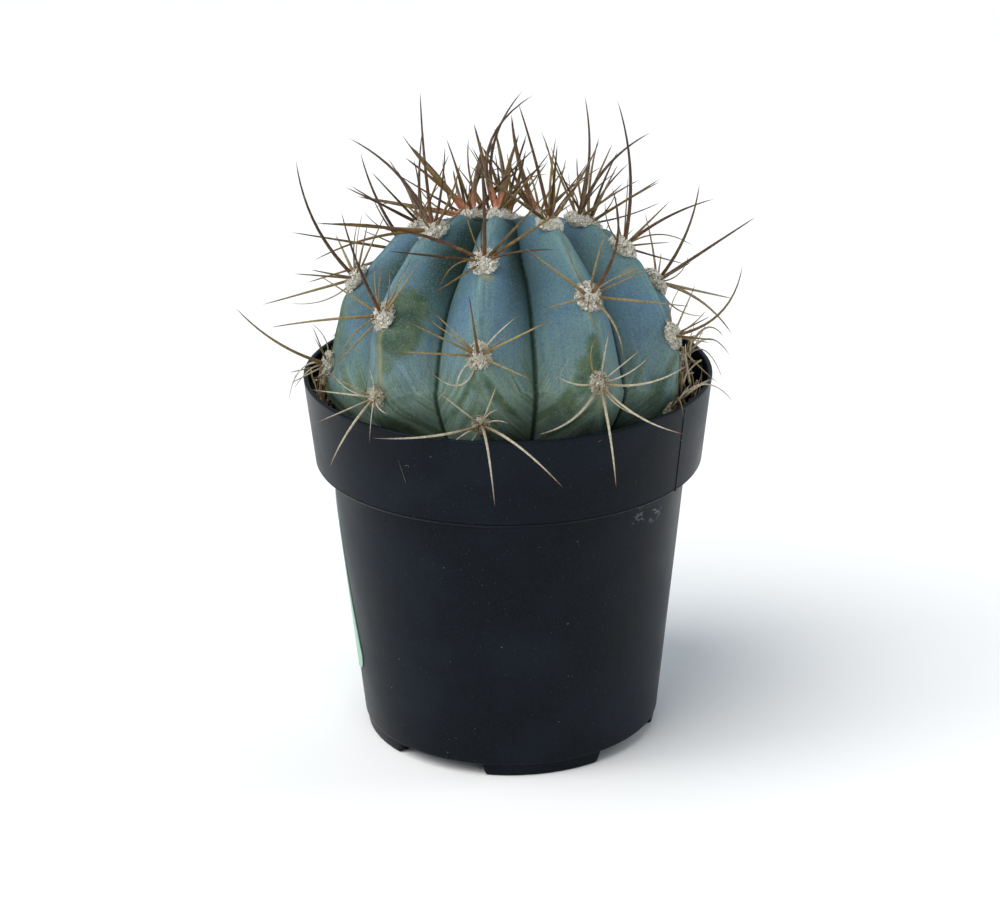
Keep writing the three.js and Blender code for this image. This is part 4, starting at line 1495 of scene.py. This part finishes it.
def bent_clear(stand, spine, owner, root_radius=SPINE_RADIUS, rises=RISES):
    """The line of a spine that is bent clear of everything, or None."""
    clock, lean, length, bow = spine
    radii = root_radius * (1 - SAMPLES)
    for arch, lift in rises:
        for clock_turn, lean_turn in TURNS:
            line = spine_line(stand, (clock + clock_turn, lean + lean_turn, length, bow), arch, lift)
            points = line(SAMPLES)
            free = points[SAMPLES >= ROOT_SHARE]
            if clear_of_pot(points, radii) and clear_of_others(points, radii, owner) and clear_of_stem(free):
                take(points, radii + CLEAR_SPINE, owner)
                return line
    return None


# %% [markdown]
# An areole is filled up with drawn spines until it has seven. Young areoles near the crown have long
# upright ones, old ones at the pot's rim short ones that spread.

# %% Filling up the areoles
FEWEST = 7  # spines of an areole
TELL_APART = 26  # degrees of the clock
CENTRAL_LEAN = 45
UPRIGHT = ((62, 12), (22, 9))
AGES = [  # up to this arc: lean and length of a central spine, then of the others, as least and range
    (30, UPRIGHT, ((40, 16), (17, 9))),
    (56, UPRIGHT, ((22, 16), (12, 9))),
    (99, ((30, 15), (15, 7)), ((18, 14), (8, 5))),
]
CROWN_SPINES = 9
CROWN_LEAN = (62, 16)  # least and range
CROWN_LENGTH = (18, 10)  # least and range
CROWN_ARC = 4  # its spines' tones are those of so young an areole


def clock_distance(a, b):
    """Degrees between two clock directions."""
    return abs((a - b + 540) % 360 - 180)


def filled_up(arc, spines, seed):
    """An areole's spines with drawn ones added."""
    spines = list(spines)
    _, central, radial = next(age for age in AGES if arc < age[0])

    def pick(span, k):
        return span[0] + span[1] * draw(seed, k)

    if not any(lean > CENTRAL_LEAN for _, lean, _, _ in spines):
        spines.append((90 * draw(seed, 1) - 45, pick(central[0], 2), pick(central[1], 3), 3 * draw(seed, 4)))
    for k in range(FEWEST):
        if len(spines) >= FEWEST:
            break
        clock = 360 * (k + draw(seed, k + 10) * 0.5) / FEWEST
        clocks = [other for other, lean, _, _ in spines if lean < CENTRAL_LEAN]
        if any(clock_distance(clock, other) < TELL_APART for other in clocks):
            continue
        spines.append((clock, pick(radial[0], k + 20), pick(radial[1], k + 30), 2 * draw(seed, k + 40) - 1))
    return spines


def crown_spine(k):
    """One of the young spines that stand up in the crown."""
    clock = 360 * (k + 0.5 * draw(k, 50)) / CROWN_SPINES
    lean = CROWN_LEAN[0] + CROWN_LEAN[1] * draw(k, 51)
    length = CROWN_LENGTH[0] + CROWN_LENGTH[1] * draw(k, 52)
    return clock, lean, length, 2 * draw(k, 53) - 1


# %% All the main spines
OWNERS = {name: number for number, name in enumerate([*AREOLES, "crown"])}
for name in AREOLES:
    take(STANDS[name].at[None], PAD_LENGTH + CLEAR_WOOL, OWNERS[name])
grown_spines = {name: [] for name in OWNERS}  # each spine with its line
for seed, (name, (arc, spines)) in enumerate(AREOLES.items()):
    for spine in filled_up(arc, spines, seed):
        grown_spines[name].append((spine, bent_clear(STANDS[name], spine, OWNERS[name])))
for k in range(CROWN_SPINES):
    spine = crown_spine(k)
    grown_spines["crown"].append((spine, bent_clear(STANDS["crown"], spine, OWNERS["crown"])))
print("main spines:", sum(len(spines) for spines in grown_spines.values()))

# %% [markdown]
# ## Fine spines
#
# Between the main spines an areole has thin ones, too thin to be worth a solid of their own. They
# are drawn all round the clock, and the crown's fan is filled with upright ones. One that would touch
# something may bend a little, and where that doesn't do it is left out.

# %% Thin spines
THIN_RADIUS = 0.36  # of the room that one is given
THIN_YOUNG = 18  # the crown and the areoles up to this arc have two, the others three
THIN_OLD = 80  # from this arc on they are shortest and lie flattest
THIN_LEAN = (16, 14, 34)  # least, what a draw may add, and what it may add on the youngest
THIN_LENGTH = (9, 7, 9)
THIN_BOW = (4, 5)
CROWN_THIN_ARC = 5
CROWN_THIN_SEED = 77
CROWN_THIN_LEAN = 48


def thin_spines(arc, seed):
    """Thin spines of an areole, longer and more upright on a young one."""
    count = 2 if arc < THIN_YOUNG else 3
    youth = 1 - min(arc, THIN_OLD) / THIN_OLD
    for k in range(count):
        clock = 360 * (k + draw(seed, k + 60)) / count
        lean = THIN_LEAN[0] + THIN_LEAN[2] * youth * draw(seed, k + 70) + THIN_LEAN[1] * draw(seed, k + 75)
        length = THIN_LENGTH[0] + THIN_LENGTH[1] * draw(seed, k + 80) + THIN_LENGTH[2] * youth
        yield clock, lean, length, (THIN_BOW[0] + THIN_BOW[1] * youth) * (draw(seed, k + 90) - 0.5)


thin_lines = {name: [] for name in OWNERS}
for seed, (name, (arc, _)) in enumerate(AREOLES.items()):
    for spine in thin_spines(arc, seed):
        line = bent_clear(STANDS[name], spine, OWNERS[name], THIN_RADIUS, SLIGHT_RISES)
        thin_lines[name].append((spine, line))
for clock, lean, length, bow in thin_spines(CROWN_THIN_ARC, CROWN_THIN_SEED):
    upright = (clock, CROWN_THIN_LEAN + lean / 2, length, bow)
    line = bent_clear(STANDS["crown"], upright, OWNERS["crown"], THIN_RADIUS, SLIGHT_RISES)
    thin_lines["crown"].append((upright, line))
print("thin spines:", sum(line is not None for lines in thin_lines.values() for _, line in lines))

# %% [markdown]
# A spine is horn. Some young ones in the crown are salmon and thick at the root and dark above, the
# next ones olive or dark brown, the middle ones brown or tan, and of the old ones at the rim those
# that hang down have bleached to bone. The taper is slow until the last third.

# %% Looks of a spine
SPINE_SEED = 100
SPINE_RINGS = 13
SPINE_SPACING = 1.1  # a power that sets the rings closer near the root
SPINE_SIDES = 8
THIN_SIDES = 6
ROOT_SUNK = 0.7
THICKNESS = (0.32, 0.53)  # radius at the root of a short and of a long main spine
THICKENS = (12, 32)  # lengths
CENTRAL_ADDS = 0.04
THIN_THICKNESS = (0.20, 0.32)
SALMON_SWELLS = 1.8
WORN_ARCS = (45, 70)
WORN_SHARES = (1, 0.84)
TAPER_POWER = 0.56
TAPER_SHARE = 0.92
ROOT_SWELLS = 0.16
ROOT_LENGTH = 0.05  # of the spine's
TIP_RADIUS = 0.015
GLOWS = (0.86, 1.14)  # how much darker and lighter than its tone a spine may be
TONES = {  # root, middle and tip
    "salmon": (srgb(198, 120, 90), srgb(102, 76, 40), srgb(54, 39, 28)),
    "dark": (srgb(100, 65, 34), srgb(76, 50, 28), srgb(50, 34, 25)),
    "olive": (srgb(112, 84, 40), srgb(120, 95, 46), srgb(66, 47, 30)),
    "brown": (srgb(96, 70, 38), srgb(104, 85, 48), srgb(60, 43, 30)),
    "tan": (srgb(120, 95, 56), srgb(144, 126, 84), srgb(98, 75, 52)),
    "bone": (srgb(139, 121, 90), srgb(188, 178, 155), srgb(136, 107, 90)),
}
ROOT_FADES = (0.08, 0.36)  # shares of the length
TIP_FADES = (0.70, 0.98)

# %% Which tone a spine has
DARK_ENDS, BROWN_ENDS, TAN_ENDS = 56, 62, 68  # arcs
BLEACHED_FROM = 80  # arc
LONG = 29  # a central spine longer than this is dark all over
BROWN_LEAN = 55
YOUNG_TONES = [  # up to this arc: the draw that each tone goes up to
    (17, [(0.5, "salmon"), (0.7, "dark"), (1, "olive")]),
    (42, [(0.25, "dark"), (0.8, "olive"), (1, "brown")]),
]


def spine_tone(arc, clock, lean, length, chance):
    """The name of a spine's colouring, by its age, stand and length."""
    central = lean > CENTRAL_LEAN
    if arc < DARK_ENDS and central and length > LONG:
        return "dark"
    for limit, tones in YOUNG_TONES:
        if arc < limit:
            return next(tone for most, tone in tones if chance < most)
    if arc < BROWN_ENDS:
        return "brown" if central else "tan"
    if arc < TAN_ENDS:
        return "brown" if lean > BROWN_LEAN else ("tan" if chance < 0.6 else "bone")
    hanging = clock_distance(clock, 180) < 90
    return "bone" if hanging or arc > BLEACHED_FROM or chance < 0.5 else "tan"


def spine_tint(tone, share, glow):
    """The colour at a share of a spine's length."""
    root, middle, tip = TONES[tone]
    colour = mixed(root, middle, float(smooth_step(*ROOT_FADES, share)))
    colour = mixed(colour, tip, float(smooth_step(*TIP_FADES, share)))
    return tuple(min(1, c * glow) for c in colour[:3]) + (1,)


def spine_radius(share, root_radius):
    """Half the thickness at a share of the length: a slow taper with a slightly thicker root."""
    root = ROOT_SWELLS * math.exp(-(share / ROOT_LENGTH) ** 2)
    return root_radius * ((1 - share) ** TAPER_POWER * TAPER_SHARE + root) + TIP_RADIUS


# %% Spines


def add_spine(bm, arc, spine, line, thin, luck):
    """One spine with its root sunk in the wool; old ones near the rim have worn thin."""
    clock, lean, length, _ = spine
    tone = spine_tone(arc, clock, lean, length, luck.random())
    if thin:
        root_radius = luck.uniform(*THIN_THICKNESS)
    else:
        short, long = THICKNESS
        root_radius = short + (long - short) * float(smooth_step(*THICKENS, length))
        root_radius += CENTRAL_ADDS if lean > CENTRAL_LEAN else 0
    root_radius *= SALMON_SWELLS if tone == "salmon" else float(np.interp(arc, WORN_ARCS, WORN_SHARES))
    glow = luck.uniform(*GLOWS)
    shares = np.concatenate([[-ROOT_SUNK / length], np.linspace(0, 1, SPINE_RINGS) ** SPINE_SPACING])
    points = [Vector(place) for place in to_world(line(shares))]
    radii = [spine_radius(max(0, share), root_radius) for share in shares]
    tints = [spine_tint(tone, max(0, share), glow) for share in shares]
    grow_tube(bm, points, radii, THIN_SIDES if thin else SPINE_SIDES, tints)


def spine_bunch(name):
    """All the spines of an areole or the crown."""
    luck = random.Random(SPINE_SEED + OWNERS[name])
    bm = painted_bmesh()
    arc = AREOLES[name][0] if name in AREOLES else CROWN_ARC
    for thin, lines in ((False, grown_spines[name]), (True, thin_lines[name])):
        for spine, line in lines:
            if line is not None:
                add_spine(bm, arc, spine, line, thin, luck)
    return bm


NODES = {name: "crown" if name == "crown" else "areole_" + name for name in OWNERS}
for name, node in NODES.items():
    finish_piece("spines_" + name, spine_bunch(name), HORN, "spine", node)
print("spine bunches:", len(OWNERS))

# %% [markdown]
# ## Wool
#
# The felt of an areole is a mat of short curled hairs that has clotted into small tufts. A lumpy
# cushion gives it body, tufts and tightly curled hairs, copied in their hundreds all over it, give
# it the crumbly look. Near the crown the wool is fresh and cream-white. At the rim it has shrunk,
# gone grey and caught bits of dirt.

# %% Tufts and curls
KINDS_SEED = 5
CURL_KINDS = 6
CURL_SIDES = 3
CURL_TAPER = 0.5
CURL_RADIUS = 0.09
CURL_STEPS = 8
CURL_TWISTS = (4, 8)  # radians from end to end
CURL_WIDTHS = (0.28, 0.5)
CURL_RISES = (0.5, 1.1)
TUFT_RADIUS = 0.40
TUFT_CORNERS = (0.7, 1.3)
WOOL_FRESH = srgb(234, 230, 219)
WOOL_OLD = srgb(190, 184, 165)
WOOL_SHADE = srgb(168, 157, 130)
WOOL_DIRT = srgb(104, 80, 58)
WOOL_STAIN = srgb(206, 196, 178)


def curl(luck):
    """One tightly curled hair that starts at the origin and rises along +Z."""
    bm = painted_bmesh()
    twist, width, rise = luck.uniform(*CURL_TWISTS), luck.uniform(*CURL_WIDTHS), luck.uniform(*CURL_RISES)
    start = luck.uniform(0, math.tau)
    shares = [k / (CURL_STEPS - 1) for k in range(CURL_STEPS)]
    points = []
    for share in shares:
        angle = start + twist * share
        points.append(Vector((width * math.cos(angle), width * math.sin(angle), rise * share)))
    radii = [CURL_RADIUS * (1 - CURL_TAPER * share) for share in shares]
    grow_tube(bm, points, radii, CURL_SIDES, [(1, 1, 1, 1)] * CURL_STEPS)
    return as_mesh(bm)


def tuft(luck):
    """A clot of hairs."""
    return rough_lump(painted_bmesh(), TUFT_RADIUS, TUFT_CORNERS, luck)


# %% Wool pads
WOOL_SEED = 300
PAD_AGES = (50, 90)  # arcs over which the wool turns grey
PAD_ARCS = (12, 20, 27, 50, 66, 72, 82)
PAD_SIZES = (0.74, 0.80, 0.88, 0.86, 0.74, 0.63, 0.57)  # at these arcs, against the plain pads
CROWN_SHARE = 0.95  # of the plain crown's width, and a share of its thickness
CROWN_FLATNESS = 0.7
BATCH = 50  # copies are added in small batches, which are then poured together
COVER = 46  # tufts and curls for a pad with a half width and a half length of 1 mm
DEPTHS = (0.86, 1.10)  # how far out they sit, against the pad's own surface
HAIR_WANDERS = 0.6  # from straight outwards
HAIR_SIZES = (0.6, 1.2)
HAIR_SHRINKS = (0.95, 0.2)  # size on a fresh pad, and how much less on an old one
CUSHION_SHADE = 0.8
CUSHION_SIZE = 0.88
CUSHION_LUMPS = (0.12, 0.10)  # coarse and fine
SHADE_SPREAD = 0.26
DIRT_SHARES = (0.02, 0.16)  # of the hairs of a fresh and an old pad


def pad_tint(age, luck):
    """The colour of one tuft or hair."""
    colour = mixed(WOOL_FRESH, WOOL_OLD, age)
    colour = mixed(colour, WOOL_SHADE, min(1, abs(luck.gauss(0, SHADE_SPREAD))))
    if luck.random() < float(np.interp(age, (0, 1), DIRT_SHARES)):
        colour = mixed(colour, WOOL_DIRT, luck.uniform(0.4, 1))
    return colour


def pad_sizes(name):
    """How old a pad is, from 0 to 1, and its half width, half length and height."""
    if name == "crown":
        return 0.0, Vector((CROWN_RADIUS, CROWN_RADIUS, CROWN_THICKNESS * CROWN_FLATNESS)) * CROWN_SHARE
    arc = AREOLES[name][0]
    size = float(np.interp(arc, PAD_ARCS, PAD_SIZES))
    return float(smooth_step(*PAD_AGES, arc)), Vector((PAD_WIDTH, PAD_LENGTH, PAD_THICKNESS)) * size


def wool_cushion(bm, half, tint, seed):
    """The lumpy body of a pad."""
    paint = bm.verts.layers.float_color["tint"]
    bmesh.ops.create_icosphere(bm, subdivisions=4, radius=1)
    for vert in bm.verts:
        coarse = CUSHION_LUMPS[0] * noise.noise(vert.co * 2.3 + Vector((seed * 3.1, 0, 0)))
        fine = CUSHION_LUMPS[1] * noise.noise(vert.co * 7 + Vector((0, seed * 1.7, 0)))
        vert.co = half * vert.co * (CUSHION_SIZE + coarse + fine)
        vert[paint] = tint


def wool_pad(name, kinds):
    """The wool of one areole or of the crown."""
    stand, luck = STANDS[name], random.Random(WOOL_SEED + OWNERS[name])
    age, half = pad_sizes(name)
    axes = Matrix([Vector(column) for column in (stand.right, stand.up, stand.out)]).transposed().to_4x4()
    body = painted_bmesh()
    body_tint = mixed(mixed(WOOL_FRESH, WOOL_OLD, age), WOOL_SHADE, CUSHION_SHADE)
    wool_cushion(body, half, body_tint, OWNERS[name])
    parts = [body]
    for k in range(int(COVER * half.x * half.y)):
        if k % BATCH == 0:
            batch = painted_bmesh()
            paint = batch.verts.layers.float_color["tint"]
            parts.append(batch)
        angle, rise = luck.uniform(0, math.tau), luck.uniform(-0.1, 1)
        ring = math.sqrt(1 - rise * rise)
        ball = Vector((math.cos(angle) * ring, math.sin(angle) * ring, rise))
        away = Vector([b / h for b, h in zip(ball, half)]).normalized()
        facing = (away + wandering(luck, HAIR_WANDERS)).normalized().to_track_quat("Z", "Y")
        place = half * ball * luck.uniform(*DEPTHS)
        size = luck.uniform(*HAIR_SIZES) * (HAIR_SHRINKS[0] - HAIR_SHRINKS[1] * age)
        tint = pad_tint(age, luck)
        for vert in add_copy(batch, kinds[k % len(kinds)], set_down(place, facing, size)):
            vert[paint] = tint
    bm = poured_together(parts)
    bmesh.ops.transform(bm, matrix=PLANT @ Matrix.Translation(stand.at) @ axes, verts=bm.verts)
    return bm


def wool_finish():
    """Felt coloured by its paint."""
    f = Finish("wool", Specular_IOR_Level=0.1, Sheen_Weight=0.15)
    colour = stained(f, 1800, 0.46, 0.7, 0.35, WOOL_STAIN)
    return f.finish(colour, 0.9, f.bump(f.noise(2800, 3), 0.12))


WOOL = wool_finish()
wool_luck = random.Random(KINDS_SEED)
WOOL_KINDS = [make(wool_luck) for make in (curl, tuft, curl) for _ in range(CURL_KINDS)]
for name, node in NODES.items():
    finish_piece("wool_" + name, wool_pad(name, WOOL_KINDS), WOOL, "wool", node)
print("wool pads:", len(OWNERS))

# %% [markdown]
# ## Table
#
# A plain pale table under the pot, wide enough to fill the view from any side.

# %% Table
TABLE_SIZE = 12  # metres
TABLE_TONES = ((0.95, 0.92, 0.90, 1), (0.97, 0.94, 0.92, 1))
bpy.ops.mesh.primitive_plane_add(size=TABLE_SIZE)
table = bpy.context.object
table.name = "table"
table_finish = Finish("table", Specular_IOR_Level=0.1)
tone = table_finish.mix(table_finish.noise(3, 2), *TABLE_TONES)
table.data.materials.append(table_finish.finish(tone, 0.9))
